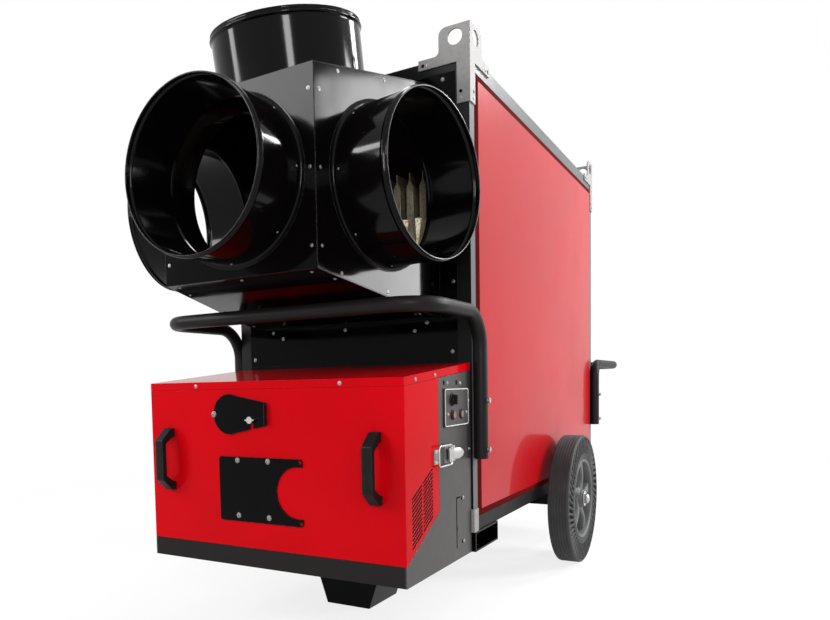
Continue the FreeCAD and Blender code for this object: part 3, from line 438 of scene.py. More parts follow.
@dataclass(frozen=True)
class HeatTinted(Finish):
    """Stainless sheet tinted by heat, with scale specks."""

    brown: Colour = (0.16, 0.09, 0.03)
    scale: Colour = (0.05, 0.045, 0.035)

    def dress(self, graph: Graph) -> None:
        """Build the tint's nodes.

        Args:
            graph: the material's empty graph.
        """
        normal, rim = graph.edge(0.0012)
        cloud = graph.noise(14.0, 5.0)
        stops = ((0.3, tinted(self.colour, 1.3)), (0.5, self.colour), (0.72, self.brown))
        colour = graph.add("ShaderNodeValToRGB", {"Fac": cloud}, "Color", stops=stops)
        specks = graph.noise(190.0, 3.0).between(0.52, 0.68)
        colour = graph.blend(specks * 0.75, colour, self.scale)
        # Painted highlight: the edges are painted much lighter.
        colour = graph.blend(rim * 0.7, colour, tinted(self.colour, 1.9))
        grain = graph.bump(graph.noise(170.0, 4.0), 0.35, 0.0012, normal)
        graph.surface(Base_Color=colour, Metallic=0.55, Roughness=specks * 0.25 + 0.34, Normal=grain)


@dataclass(frozen=True)
class Moulded(Finish):
    """Moulded plastic or rubber with a fine grain."""

    roughness: float = 0.5
    grain: float = 700.0
    depth: float = 0.15
    bloom: Colour = (0.1, 0.1, 0.1)
    specular: float = 0.35

    def dress(self, graph: Graph) -> None:
        """Build the moulding's nodes.

        Args:
            graph: the material's empty graph.
        """
        cloud = graph.noise(26.0, 5.0)
        colour = graph.blend(cloud.between(0.4, 0.8) * 0.5, self.colour, self.bloom)
        grain = graph.bump(graph.noise(self.grain, 3.0), self.depth, 0.0005)
        graph.surface(Base_Color=colour, Roughness=cloud * 0.2 + self.roughness, Normal=grain,
                      Specular_IOR_Level=self.specular)


@dataclass(frozen=True)
class Lens(Finish):
    """Clear-coated coloured plastic."""

    def dress(self, graph: Graph) -> None:
        """Build the lens's nodes.

        Args:
            graph: the material's empty graph.
        """
        rings = graph.noise(600.0, 1.0)
        colour = graph.blend(rings, self.colour, tinted(self.colour, 0.6))
        graph.surface(Base_Color=colour, Roughness=rings * 0.06 + 0.08, Coat_Weight=0.6,
                      Normal=graph.bump(rings, 0.08, 0.0003))


class Look(Enum):
    """The machine's finishes."""

    RED = Enamel("red_enamel", "red_paint", (0.385, 0.001, 0.004), (0.6, 0.05, 0.05), 0.14, 0.035, 0.02)
    # The second colour is the painted shade of the panels' sloping border.
    PANEL_RED = ShadedBorderEnamel("panel_enamel", "red_paint", (0.315, 0.0015, 0.005), (0.06, 0.0004, 0.0008))
    BLACK_GLOSS = Enamel("black_enamel", "black_gloss", (0.0016, 0.0012, 0.0014), (0.14, 0.135, 0.13), 0.08,
                         0.06, 0.02, 0.0012, 0.35)
    PIPE = replace(BLACK_GLOSS, name="spigot_enamel", roughness=0.1, specular=0.12)
    BLACK = Powder("black_powder", "black_paint", (0.008, 0.007, 0.0068), (0.12, 0.115, 0.11), 0.36, 900.0,
                   0.12, 0.1)
    SIDE_BLACK = Powder("satin_side_black", "black_paint", (0.026, 0.023, 0.0225), (0.2, 0.19, 0.18), 0.3,
                        1300.0, 0.06, 0.34)
    # The side colour is painted light on the frame's side faces.
    FRAME = SideLitEnamel("frame_paint", "frame_grey", (0.004, 0.004, 0.004), (0.14, 0.14, 0.14), 0.36, 0.12,
                        side=(0.085, 0.088, 0.092))
    ZINC = Galvanised("galvanised_sheet", "galvanised", (0.19, 0.185, 0.18), 120.0, 0.55, 0.3, 0.05)
    BRIGHT = BrightMetal("latch_zinc", "bright_zinc", (0.5, 0.495, 0.485), 0.24)
    SCREW = BrightMetal("screw_zinc", "bright_zinc", (0.3, 0.295, 0.287), 0.36)
    STEEL = HeatTinted("heat_tinted_steel", "stainless", (0.2, 0.175, 0.12))
    RUBBER = Moulded("solid_tyre", "tyre_rubber", (0.026, 0.0264, 0.027), 0.55, 420.0, 0.2,
                     (0.05, 0.05, 0.05), 0.25)
    HUB = Moulded("hub_plastic", "wheel_plastic", (0.06, 0.062, 0.064), 0.42, 800.0, 0.1, (0.11, 0.11, 0.11))
    PLASTIC = Moulded("moulded_black", "black_plastic", (0.006, 0.0055, 0.0056), 0.36, 900.0, 0.1,
                      (0.01, 0.0098, 0.0098), 0.12)
    RED_LENS = Lens("red_lens", "red_plastic", (0.12, 0.002, 0.004))
    WHITE_LINE = Moulded("white_line", "black_paint", (0.42, 0.42, 0.41), 0.5, 900.0, 0.05,
                         (0.36, 0.36, 0.36))
    CAST = Galvanised("cast_housing", "cast_grey", (0.33, 0.34, 0.35), 220.0, 0.42, 0.6)
    # Near-black used only for painted shade: the louvre slots, slits and holes that show dark.
    DARK = Powder("painted_shade_black", "black_paint", (0.002, 0.002, 0.002), (0.004, 0.004, 0.004), 0.6, 900.0,
                  0.1, 0.02)


SPECIAL_LOOKS: dict[Look, tuple[str, ...]] = {
    Look.PANEL_RED: ("side_panel_left", "side_panel_right"),
    Look.BLACK_GLOSS: ("collar_plate", "sight_cover", "front_panel_upper", "front_panel_lower",
                       "front_foot", "fork_pocket_front", "fork_pocket_rear", "axle_beam"),
    Look.PIPE: ("spigot_front", "spigot_left", "spigot_right", "spigot_top"),
    Look.SIDE_BLACK: ("side_plates", "control_plate"),
}


def dress_nodes() -> None:
    """Give every carried-over solid its finish: a special one, or the first look of its slot."""
    usual = {look.value.slot: look for look in reversed(Look)}
    special = {name: look for look, names in SPECIAL_LOOKS.items() for name in names}
    for name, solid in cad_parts.items():
        for place in solid.material_slots:
            look = special.get(name) or usual.get(place.material.name.split(".")[0], Look.BLACK)
            place.material = look.value.material()
            LOG.info("node %s: %s", name, look.value.name)


def placed(name: str, data: bpy.types.ID) -> bpy.types.Object:
    """A new object of the scene that shows a mesh, a lamp or a camera.

    Args:
        name: the object's name.
        data: what it shows.

    Returns:
        The object.
    """
    thing = bpy.data.objects.new(name, data)
    bpy.context.scene.collection.objects.link(thing)
    return thing


class Mesher:
    """Collects the faces of one piece."""

    def __init__(self) -> None:
        """Start with no faces."""
        self.bm = bmesh.new()

    def loops(self, rings: Sequence[Sequence[Vector]], around: bool = True, ends: bool = False,
              along: bool = False) -> None:
        """Skin a row of point rings.

        Args:
            rings: rings of equally many points.
            around: whether each ring closes on itself.
            ends: whether the first and last rings are filled.
            along: whether the last ring joins the first.
        """
        made = [[self.bm.verts.new(point) for point in ring] for ring in rings]
        count = len(made[0])
        pairs = list(zip(made, made[1:])) + ([(made[-1], made[0])] if along else [])
        for near, far in pairs:
            for index in range(count if around else count - 1):
                after = (index + 1) % count
                self.bm.faces.new((near[index], near[after], far[after], far[index]))
        if ends:
            self.bm.faces.new(list(reversed(made[0])))
            self.bm.faces.new(made[-1])

    def lathe(self, outline: Sequence[Pair], steps: int, frame_of: Matrix, closed: bool = True,
              shape: Callable[[int, int, float, float], Pair] | None = None) -> None:
        """Turn an outline round the Z of a frame.

        Args:
            outline: (radius, height) points in millimetres.
            steps: how many stations go round.
            frame_of: the frame to turn in.
            closed: whether the outline closes on itself.
            shape: changes a point by its number and station, for ribs.
        """
        rings = []
        for station in range(steps):
            turn = 2 * math.pi * station / steps
            ring = []
            for number, (radius, height) in enumerate(outline):
                if shape is not None:
                    radius, height = shape(number, station, radius, height)
                spot = Vector((radius * math.cos(turn), radius * math.sin(turn), height)) * MM
                ring.append(frame_of @ spot)
            rings.append(ring)
        self.loops(rings, around=closed, along=True)

    def prism(self, outline: Sequence[Pair], depth: float, frame_of: Matrix) -> None:
        """Pad a flat outline along the Z of a frame.

        Args:
            outline: the corners in millimetres.
            depth: how far it is padded, in millimetres.
            frame_of: the frame of the outline.
        """
        low = [frame_of @ Vector((u * MM, v * MM, 0.0)) for u, v in outline]
        high = [frame_of @ Vector((u * MM, v * MM, depth * MM)) for u, v in outline]
        self.loops([low, high], ends=True)

    def sweep(self, path: Sequence[Vector], radius: float, sides: int = 10, closed: bool = False) -> None:
        """Run a round wire along points.

        Args:
            path: the points of its middle line, in metres.
            radius: the wire's radius in millimetres.
            sides: how many points go round it.
            closed: whether the path closes on itself.
        """
        count = len(path)
        rings = []
        side = None
        for index, point in enumerate(path):
            before = path[index - 1] if closed or index else point
            after = path[(index + 1) % count] if closed or index + 1 < count else point
            way = (after - before).normalized()
            if side is None:
                side = way.orthogonal().normalized()
            side = (side - way * side.dot(way)).normalized()
            up = way.cross(side)
            rings.append([point + (side * math.cos(a) + up * math.sin(a)) * radius * MM
                          for a in (2 * math.pi * s / sides for s in range(sides))])
        self.loops(rings, ends=not closed, along=closed)

    def screw(self, at: Vector, axis: Sequence[float], radius: float, washer: float = 1.28,
              tall: float = 1.0) -> None:
        """A pan-head screw with a flange and a socket, its seat at a point.

        Args:
            at: the middle of its seat, in metres.
            axis: the way its head looks.
            radius: the head's radius in millimetres.
            washer: the flange's radius over the head's.
            tall: the head's height over that of a usual head.
        """
        outline = [(0.0, 0.28), (0.36, 0.28), (0.44, 0.62), (0.72, 0.58), (0.95, 0.34), (1.0, 0.16),
                   (washer, 0.14), (washer, 0.0)]
        self.lathe([(reach * radius, rise * radius * tall) for reach, rise in outline], 18,
                   facing(axis, at), closed=False)

    def finish(self, name: str, look: Look, body: str, bevel: float = 0.0, smooth: float = 32.0,
               replaced: Iterable[str] = ()) -> None:
        """Turn the faces into a piece of the scene.

        Args:
            name: the piece's name.
            look: its finish.
            body: the body that it moves with.
            bevel: the width of its rounded edges in millimetres.
            smooth: the largest angle that shades smooth, in degrees.
            replaced: the solids that it stands for.
        """
        bmesh.ops.remove_doubles(self.bm, verts=self.bm.verts, dist=1e-6)
        bmesh.ops.dissolve_degenerate(self.bm, edges=self.bm.edges, dist=1e-7)
        bmesh.ops.recalc_face_normals(self.bm, faces=self.bm.faces)
        mesh = bpy.data.meshes.new(name)
        self.bm.to_mesh(mesh)
        self.bm.free()
        mesh.shade_smooth()
        mesh.set_sharp_from_angle(angle=math.radians(smooth))
        mesh.materials.append(look.value.material())
        piece = placed(name, mesh)
        if bevel:
            rounding = piece.modifiers.new("rounding", "BEVEL")
            rounding.width = bevel * MM
            rounding.segments = 2
            rounding.limit_method = "ANGLE"
            rounding.harden_normals = True
        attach(piece, body)
        if replaced:
            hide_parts(*replaced)
        LOG.info("piece %s rides on %s", name, body)


def rounded(corners: Sequence[Pair], radius: float, steps: int = 5) -> list[Pair]:
    """An outline with its corners rounded.

    Args:
        corners: the sharp corners in order.
        radius: the corner radius.
        steps: how many points each corner gets, less one.

    Returns:
        The rounded outline.
    """
    out = []
    count = len(corners)
    for index, corner in enumerate(corners):
        here = Vector(corner)
        back = Vector(corners[index - 1]) - here
        on = Vector(corners[(index + 1) % count]) - here
        reach = min(radius, 0.49 * back.length, 0.49 * on.length)
        first = here + back.normalized() * reach
        last = here + on.normalized() * reach
        for step in range(steps + 1):
            t = step / steps
            spot = first * (1 - t) ** 2 + here * 2 * t * (1 - t) + last * t ** 2
            out.append((spot.x, spot.y))
    return out


@dataclass
class Plenum:
    """The outlet plenum's fasteners and spigots."""

    front: float = -81
    rear: float = 330
    front_half: float = 207
    rear_half: float = 276
    front_level: Pair = (836, 1238)
    rear_level: Pair = (765, 1318)
    edge_levels: Triple = (882, 1036, 1188)
    edge_inset: float = 12
    screw_reaches: Triple = (-8, 146, 296)
    bottom_screws: Triple = (-182, 0, 182)
    screw_radius: float = 3.1
    spigot_z: float = 1037
    side_reach: float = 141
    top_reach: float = 150
    spigot_radius: float = 174
    spigot_gauge: float = 2
    spigot_long: float = 140
    spigot_screws: int = 8
    spigot_screw_rise: float = 16
    top_spigot_long: float = 147
    front_inward: float = 65
    sheet: float = 2
    flange: float = 10
    bead_inset: float = 11
    bead: float = 4

    def share(self, y: float) -> float:
        """How far along the taper a reach lies, from zero to one."""
        return (y - self.front) / (self.rear - self.front)

    def half(self, y: float) -> float:
        """Half the plenum's width at a reach."""
        return self.front_half + (self.rear_half - self.front_half) * self.share(y)

    def level(self, y: float, end: int) -> float:
        """The height of the bottom (0) or top (1) sheet at a reach."""
        return self.front_level[end] + (self.rear_level[end] - self.front_level[end]) * self.share(y)

    def screws(self) -> None:
        """Rows of screws along the folded edges."""
        mesh = Mesher()
        inset, length = self.edge_inset, self.rear - self.front
        flare = Vector((length, self.front_half - self.rear_half)).normalized()
        fold, lip = self.front + 1.3 * inset, self.front + 1.5 * inset
        for side in (1, -1):
            spots = [(fold, z) for z in self.edge_levels]
            for end, rise in ((0, 0.8 * inset), (1, -inset)):
                spots += [(y, self.level(y, end) + rise) for y in self.screw_reaches]
            for y, z in spots:
                mesh.screw(row(side * self.half(y), y, z), (side * flare.x, flare.y, 0), self.screw_radius)
            for z in self.edge_levels:
                mesh.screw(row(side * (self.front_half - inset), self.front, z), FORWARD, self.screw_radius)
        for end, way in ((0, -1), (1, 1)):
            rise = abs(self.rear_level[end] - self.front_level[end])
            spots = [(side * (self.half(y) - 1.4 * inset), y) for y in self.screw_reaches for side in (1, -1)]
            if end == 0:
                spots += [(x, lip) for x in self.bottom_screws]
            for x, y in spots:
                mesh.screw(row(x, y, self.level(y, end)), (0, -rise, way * length), self.screw_radius)
        mesh.finish("plenum_screws", Look.SCREW, "cabinet")

    def seats(self) -> dict[str, tuple[Matrix, float, float]]:
        """Each spigot's frame, Z looking out of its mouth, with its length and its reach inward.

        Returns:
            The frame, the length and the reach by the spigot's name.
        """
        length = self.rear - self.front
        flare = self.rear_half - self.front_half
        rise = self.rear_level[1] - self.front_level[1]
        spot = row(0, self.front, self.spigot_z)
        seats = {"front": (facing(FORWARD, spot), self.spigot_long, self.front_inward)}
        for name, side in SIDES:
            spot = row(side * self.half(self.side_reach), self.side_reach, self.spigot_z)
            seats[name] = (facing((side * length, -flare, 0), spot), self.spigot_long, self.sheet)
        spot = row(0, self.top_reach, self.level(self.top_reach, 1))
        seats["top"] = (facing((0, -rise, length), spot), self.top_spigot_long, self.sheet)
        return seats

    def spigot_section(self, long: float, inward: float) -> list[Pair]:
        """The section of a spigot: rolled bead, hemmed mouth, back along the inside, crease, foot and flange.

        Args:
            long: how far the mouth stands off the sheet.
            inward: how far the wall reaches behind the sheet.

        Returns:
            The (radius, height) points of the closed section.
        """
        r, bead = self.spigot_radius, self.bead
        bore, ring, flange = r - self.spigot_gauge, long - self.bead_inset, r + self.flange
        rolled = [(-2.2, 0), (-1.25, 0), (-0.85, 0.45), (-0.4, 0.9), (0, 1), (0.4, 0.9), (0.85, 0.45),
                  (1.25, 0)]
        outer = [(r + bead * lift, ring + bead * along) for along, lift in rolled]
        inner = [(bore + bead * lift, ring + bead * along) for along, lift in reversed(rolled)]
        mouth = [(r, long - 2.6), (r + 1.4, long - 1.8), (r + 1.6, long - 0.8), (r + 0.8, long),
                 (r - 1.2, long), (bore, long - 0.9)]
        crease = [(bore, 13), (bore, 9), (bore - 1.2, 7.2), (bore - 1.2, 4.8), (bore, 3)]
        foot = [(bore, -inward), (r, -inward), (r, 0.2), (flange, 0.2), (flange, 1.4), (r + 3.4, 1.8),
                (r + 1, 2.6), (r, 5), (r, 9)]
        return outer + mouth + inner + crease + foot

    def spigots(self) -> None:
        """The four spigots, and the screws round the foot of each."""
        screws = Mesher()
        for name, (seat, long, inward) in self.seats().items():
            pipe = Mesher()
            pipe.lathe(self.spigot_section(long, inward), 128, seat)
            pipe.finish(f"rolled_spigot_{name}", Look.PIPE, "cabinet", smooth=50,
                        replaced=(f"spigot_{name}",))
            for index in range(self.spigot_screws):
                turn = 2 * math.pi * index / self.spigot_screws
                out = Vector((math.cos(turn), math.sin(turn), 0))
                spot = out * self.spigot_radius + Vector((0, 0, self.spigot_screw_rise))
                screws.screw(seat @ (spot * MM), seat.to_3x3() @ out, 0.7 * self.screw_radius)
        screws.finish("spigot_screws", Look.SCREW, "cabinet")

    def build(self) -> None:
        """Build the plenum's pieces."""
        self.screws()
        self.spigots()


@dataclass
class Wheel:
    """A solid-tyred wheel with a spoked plastic hub."""

    x: float = 423
    y: float = 1126
    z: float = 210
    radius: float = 210
    half_width: float = 33
    rim: float = 132
    grooves: Triple = (4.5, 13, 21.5)
    groove_half: float = 1.3
    groove_deep: float = 2.2
    ribs: int = 54
    rib_steps: int = 8
    rib_band: Pair = (150, 201)
    rib_sink: float = 9
    rib_skew: float = 0.9
    spokes: int = 5
    spoke_steps: int = 12
    spoke_root: float = 26
    spoke_sweep: float = 0.2
    spoke_half: float = 12
    spoke_face: float = 22
    spoke_crown: float = 5
    spoke_back: float = -14
    boss: Spots = ((10.4, -33.5), (25, -33.5), (28, -30), (28, -16), (40, -12), (41, 17), (33, 22),
                   (30, 24), (29, 30), (26, 33.5), (16, 33.5), (15, 31), (10.4, 31))
    nut_seat: float = 457.5
    washer: float = 2.2
    nut: float = 17.4
    nut_tall: float = 8.4
    nut_dome: Spots = ((14.6, 10.6), (13.8, 12), (10.5, 14.6), (5.5, 15.7), (0, 16))

    def seat(self, side: int, x: float) -> Matrix:
        """The frame of a wheel on one side, Z looking outward, at a distance from the middle."""
        return facing((side, 0, 0), row(side * x, self.y, self.z))

    def half_section(self) -> list[Pair]:
        """One half of the tyre's section, tread to bead, as (radius, offset).

        Returns:
            The points in millimetres.
        """
        r, half = self.radius, self.half_width
        reach, floor = self.groove_half, r - self.groove_deep
        points: list[Pair] = []
        for middle in self.grooves:
            points += [(r, middle - 1.8 * reach), (floor, middle - reach), (floor, middle + reach),
                       (r, middle + 1.8 * reach)]
        low, high = self.rib_band
        shoulder = [(r, 6), (r - 1, 3), (r - 3.2, 1), (r - 6, 0.2), (high + 1, 0)]
        band = [(high - (high - low) * step / 6, 0.4) for step in range(7)]
        bead = [(low - 1, 0.2), (low - 3, 0), (low - 5, 0.4), (low - 6, 2), (low - 8, 2),
                (low - 9, 0.6), (low - 13, 0.8), (self.rim + 1, 2.4), (self.rim, 4)]
        return points + [(at, half - sunk) for at, sunk in shoulder + band + bead]

    def tyre(self, name: str, side: int) -> None:
        """The tyre with its fine grooves and the ribs of its sides.

        Args:
            name: the side's name.
            side: 1 on the right, -1 on the left.
        """
        outline = mirrored(self.half_section())
        low, high = self.rib_band
        ribbed = {index for index, (r, o) in enumerate(outline)
                  if low <= r <= high and abs(o) > self.half_width - 1}

        def cut(number: int, station: int, r: float, o: float) -> Pair:
            """Sink the gaps between the ribs, which lean a little.

            Args:
                number: the point's number in the outline.
                station: the station round the tyre.
                r: the point's radius.
                o: its offset from the middle.

            Returns:
                The changed radius and offset.
            """
            if number in ribbed:
                lean = round(self.rib_steps * self.rib_skew * (r - low) / (high - low))
                if (station + lean) % self.rib_steps < self.rib_steps // 2:
                    return r, o - math.copysign(self.rib_sink, o)
            return r, o

        mesh = Mesher()
        mesh.lathe(outline, self.rib_steps * self.ribs, self.seat(side, self.x), shape=cut)
        mesh.finish(f"solid_tyre_{name}", Look.RUBBER, f"wheel_{name}", smooth=24, replaced=(f"tyre_{name}",))

    def spoke(self, mesh: Mesher, seat: Matrix, start: float) -> None:
        """One spoke that widens into the rim and the boss.

        Args:
            mesh: where its faces go.
            seat: the wheel's frame.
            start: the angle it starts from, in radians.
        """
        rings = []
        for step in range(self.spoke_steps + 1):
            t = step / self.spoke_steps
            reach = self.spoke_root + (self.rim - self.spoke_root - 12) * t
            swing = start + self.spoke_sweep * math.sin(math.pi * 0.5 * t)
            wide = self.spoke_half * (1 + abs(2 * t - 1) ** 2.2)
            face = self.spoke_face + self.spoke_crown * math.sin(math.pi * t)
            out = Vector((math.cos(swing), math.sin(swing), 0))
            along = Vector((-out.y, out.x, 0))
            section = mirrored([(self.spoke_back, wide), (face - 9, wide), (face - 3, 0.8 * wide),
                                (face, 0.45 * wide)])
            rings.append([seat @ ((out * reach + along * a + Vector((0, 0, b))) * MM) for b, a in section])
        mesh.loops(rings, ends=True)

    def hub(self, name: str, side: int) -> None:
        """The hub: a lipped rim, curved spokes and a collared boss.

        Args:
            name: the side's name.
            side: 1 on the right, -1 on the left.
        """
        seat = self.seat(side, self.x)
        mesh = Mesher()
        half, r = self.half_width, self.rim
        rim = [(r, 3 - half), (r, half - 4), (r - 2, half - 0.6), (r - 7, half - 0.2),
               (r - 11, half - 3), (r - 14, half - 12), (r - 15, 0), (r - 14, 12 - half),
               (r - 11, 3 - half), (r - 7, 0.2 - half), (r - 2, 0.6 - half)]
        mesh.lathe(rim, 96, seat)
        mesh.lathe(self.boss, 60, seat)
        for index in range(self.spokes):
            self.spoke(mesh, seat, 2 * math.pi * index / self.spokes)
        mesh.finish(f"spoked_hub_{name}", Look.HUB, f"wheel_{name}", smooth=34,
                    replaced=(f"wheel_hub_{name}",))

    def nuts(self) -> None:
        """Domed axle nuts on plain washers."""
        mesh = Mesher()
        corners = [math.pi / 3 * step for step in range(6)]
        flats = [(self.nut * math.cos(turn), self.nut * math.sin(turn)) for turn in corners]
        for side in (1, -1):
            seat = self.seat(side, self.nut_seat)
            mesh.lathe(oblong((9, 25), (0, self.washer)), 36, seat)
            mesh.prism(flats, self.nut_tall, seat @ Matrix.Translation((0, 0, self.washer * MM)))
            mesh.lathe(self.nut_dome, 30, seat, closed=False)
        mesh.finish("domed_axle_nuts", Look.BRIGHT, "cabinet", bevel=0.5, replaced=("axle_nuts",))

    def build(self) -> None:
        """Build both wheels."""
        for name, side in SIDES:
            self.tyre(name, side)
            self.hub(name, side)
        self.nuts()


@dataclass
class BurnerHood:
    """The pull-off hood's handles, screws and trim."""

    handle_x: float = 289
    handle_z: float = 429
    handle_half: float = 76
    handle_width: float = 25
    handle_depth: float = 44
    bar: float = 13
    slope: float = 28
    foot: float = 21
    web: float = 8
    turn: float = 9
    ribs: int = 21
    rib: float = 0.9
    rib_inset: float = 4
    rib_path: Spots = ((-8.6, 0.4), (-7.6, -0.5), (7.6, -0.5), (8.6, 0.4))
    lid_screw_x: float = 203
    lid_screw_z: float = 606.5
    lid_screw: float = 3.6
    flat_head: float = 0.5
    side_half: float = 354
    lip_screws: Spots = ((54, 611), (153, 620))
    collar_face: float = -3
    collar_bolts: Spots = ((-78, 433), (10, 433), (-78, 304), (10, 304))
    collar_bolt: float = 5
    pivot: Triple = (-144, -4.3, 540)
    pivot_bolt: float = 5.4
    # Corners of the dark sheets that paint the shade inside the louvre slots.
    louvre_shade_corners: Spots = ((27, 254), (144, 312), (144, 424), (27, 366))
    louvre_depths: Pair = (0.5, 0.9)
    lip: Triple = (9, 1.6, 48)
    lip_at: Triple = (8.2, -3.6, 516)

    def handles(self) -> None:
        """Bridge handles with a ribbed grip."""
        half, deep, bar = self.handle_half, self.handle_depth, self.bar
        grip = half - self.slope
        outline = mirrored([(bar - deep, grip - self.turn), (-self.web, half - self.foot),
                            (0, half - self.foot), (0, half), (-bar, half), (-deep, grip)])
        reach = grip - self.rib_inset
        mesh, ribs = Mesher(), Mesher()
        for side in (1, -1):
            x = side * self.handle_x
            corner = row(x - self.handle_width / 2, 0, self.handle_z)
            mesh.prism(outline, self.handle_width, swapped(corner, "wuv"))
            for index in range(self.ribs):
                z = self.handle_z - reach + 2 * reach * index / (self.ribs - 1)
                ribs.sweep([row(x + u, v - deep, z) for u, v in self.rib_path], self.rib, 6)
        mesh.finish("bridge_handles", Look.PLASTIC, "hood", bevel=2, replaced=("hood_handles",))
        ribs.finish("handle_ribs", Look.PLASTIC, "hood")

    def screws(self) -> None:
        """Screws of the lid's front and side lips."""
        mesh = Mesher()
        for side in (1, -1):
            spot = row(side * self.lid_screw_x, 0, self.lid_screw_z)
            mesh.screw(spot, FORWARD, self.lid_screw, tall=self.flat_head)
            for y, z in self.lip_screws:
                mesh.screw(row(side * self.side_half, y, z), (side, 0, 0), self.lid_screw)
        mesh.finish("lid_screws", Look.SCREW, "hood")

    def bolts(self) -> None:
        """Bolts of the collar plate and the pivot of the sight cover."""
        mesh = Mesher()
        for x, z in self.collar_bolts:
            mesh.screw(row(x, self.collar_face, z), FORWARD, self.collar_bolt)
        mesh.screw(row(*self.pivot), FORWARD, self.pivot_bolt)
        mesh.finish("collar_bolts", Look.SCREW, "hood", replaced=("hood_fasteners",))

    def louvre_shade_sheets(self) -> None:
        """Dark sheets set just inside the louvred cheeks: painted shade that makes the slots read dark."""
        mesh = Mesher()
        for side in (1, -1):
            mesh.loops([[row(side * (self.side_half - depth), *spot) for spot in self.louvre_shade_corners]
                        for depth in self.louvre_depths], ends=True)
        mesh.finish("louvre_shade_sheets", Look.DARK, "hood")

    def cover_lip(self) -> None:
        """The folded finger lip at the end of the sight cover."""
        mesh = Mesher()
        reach, gauge, tall = self.lip
        mesh.prism(oblong((-reach, 0), (0, gauge)), tall, swapped(row(*self.lip_at), "vuw"))
        mesh.finish("cover_lip", Look.BLACK, "sight_cover", bevel=0.4)

    def build(self) -> None:
        """Build the hood's pieces."""
        self.handles()
        self.screws()
        self.bolts()
        self.louvre_shade_sheets()
        self.cover_lip()


@dataclass
class ControlPanel:
    """The side plate's control field and fasteners."""

    face: float = 358
    plate_face: float = 354
    field_y: Pair = (198, 340)
    field_z: Pair = (503, 589)
    line: float = 2.4
    line_proud: float = 0.35
    corner: float = 9
    screw: float = 4
    screws: Spots = ((220, 602), (298, 601), (309, 327), (312, 222), (350, 560), (350, 442))
    field_screw: float = 3.6
    field_screws: Spots = ((214, 531), (326, 532))
    bezel: Spots = ((0, 0), (3.4, 0), (2.8, 2), (0.4, 2.4))
    bezel_seats: tuple[Triple, ...] = ((239, 564, 12), (241, 529, 8.9), (293, 529, 8.4))
    # Boxes of painted shade over the slits and holes: y, z, width and height.
    slit_proud: float = 0.25
    slit_boxes: tuple[tuple[float, float, float, float], ...] = (
        (266.5, 213, 4, 119), (266.5, 330, 26, 3.2), (266.5, 254, 6, 9), (196, 598, 9, 10),
        (270, 598, 9, 10), (297, 323, 7, 8), (300, 219, 7, 8))

    def outline(self) -> None:
        """The pale line round the control field."""
        (y0, y1), (z0, z1), line = self.field_y, self.field_z, self.line
        outer = rounded(oblong(self.field_y, self.field_z), self.corner)
        inner = rounded(oblong((y0 + line, y1 - line), (z0 + line, z1 - line)), self.corner - 2)
        low, high = self.face, self.face + self.line_proud
        mesh = Mesher()
        mesh.loops([[row(x, y, z) for y, z in loop]
                    for x, loop in ((low, outer), (high, outer), (high, inner), (low, inner))], along=True)
        mesh.finish("control_outline", Look.WHITE_LINE, "cabinet")

    def bezels(self) -> None:
        """Collars round the switch, the button and the lamp."""
        mesh = Mesher()
        for y, z, inner in self.bezel_seats:
            mesh.lathe([(inner + wide, tall) for wide, tall in self.bezel], 36,
                       facing((1, 0, 0), row(self.face, y, z)))
        mesh.finish("control_bezels", Look.PLASTIC, "cabinet")

    def fasteners(self) -> None:
        """Screws of the side plates and of the control field."""
        mesh = Mesher()
        for y, z in self.field_screws:
            mesh.screw(row(self.face, y, z), (1, 0, 0), self.field_screw)
        for side in (1, -1):
            for y, z in self.screws:
                mesh.screw(row(side * self.plate_face, y, z), (side, 0, 0), self.screw)
        mesh.finish("side_plate_screws", Look.SCREW, "cabinet")

    def slits(self) -> None:
        """Dark patches just proud of the side plates: painted shade for the slits and holes of the tab that
        hooks the side plates to the chassis.
        """
        mesh = Mesher()
        for side in (1, -1):
            for y, z, wide, tall in self.slit_boxes:
                corners = oblong((y, y + wide), (z, z + tall))
                mesh.loops([[row(side * x, *spot) for spot in corners]
                            for x in (self.plate_face, self.plate_face + self.slit_proud)], ends=True)
        mesh.finish("side_plate_slit_shade", Look.DARK, "cabinet")

    def build(self) -> None:
        """Build the panel's pieces."""
        self.outline()
        self.bezels()
        self.fasteners()
        self.slits()


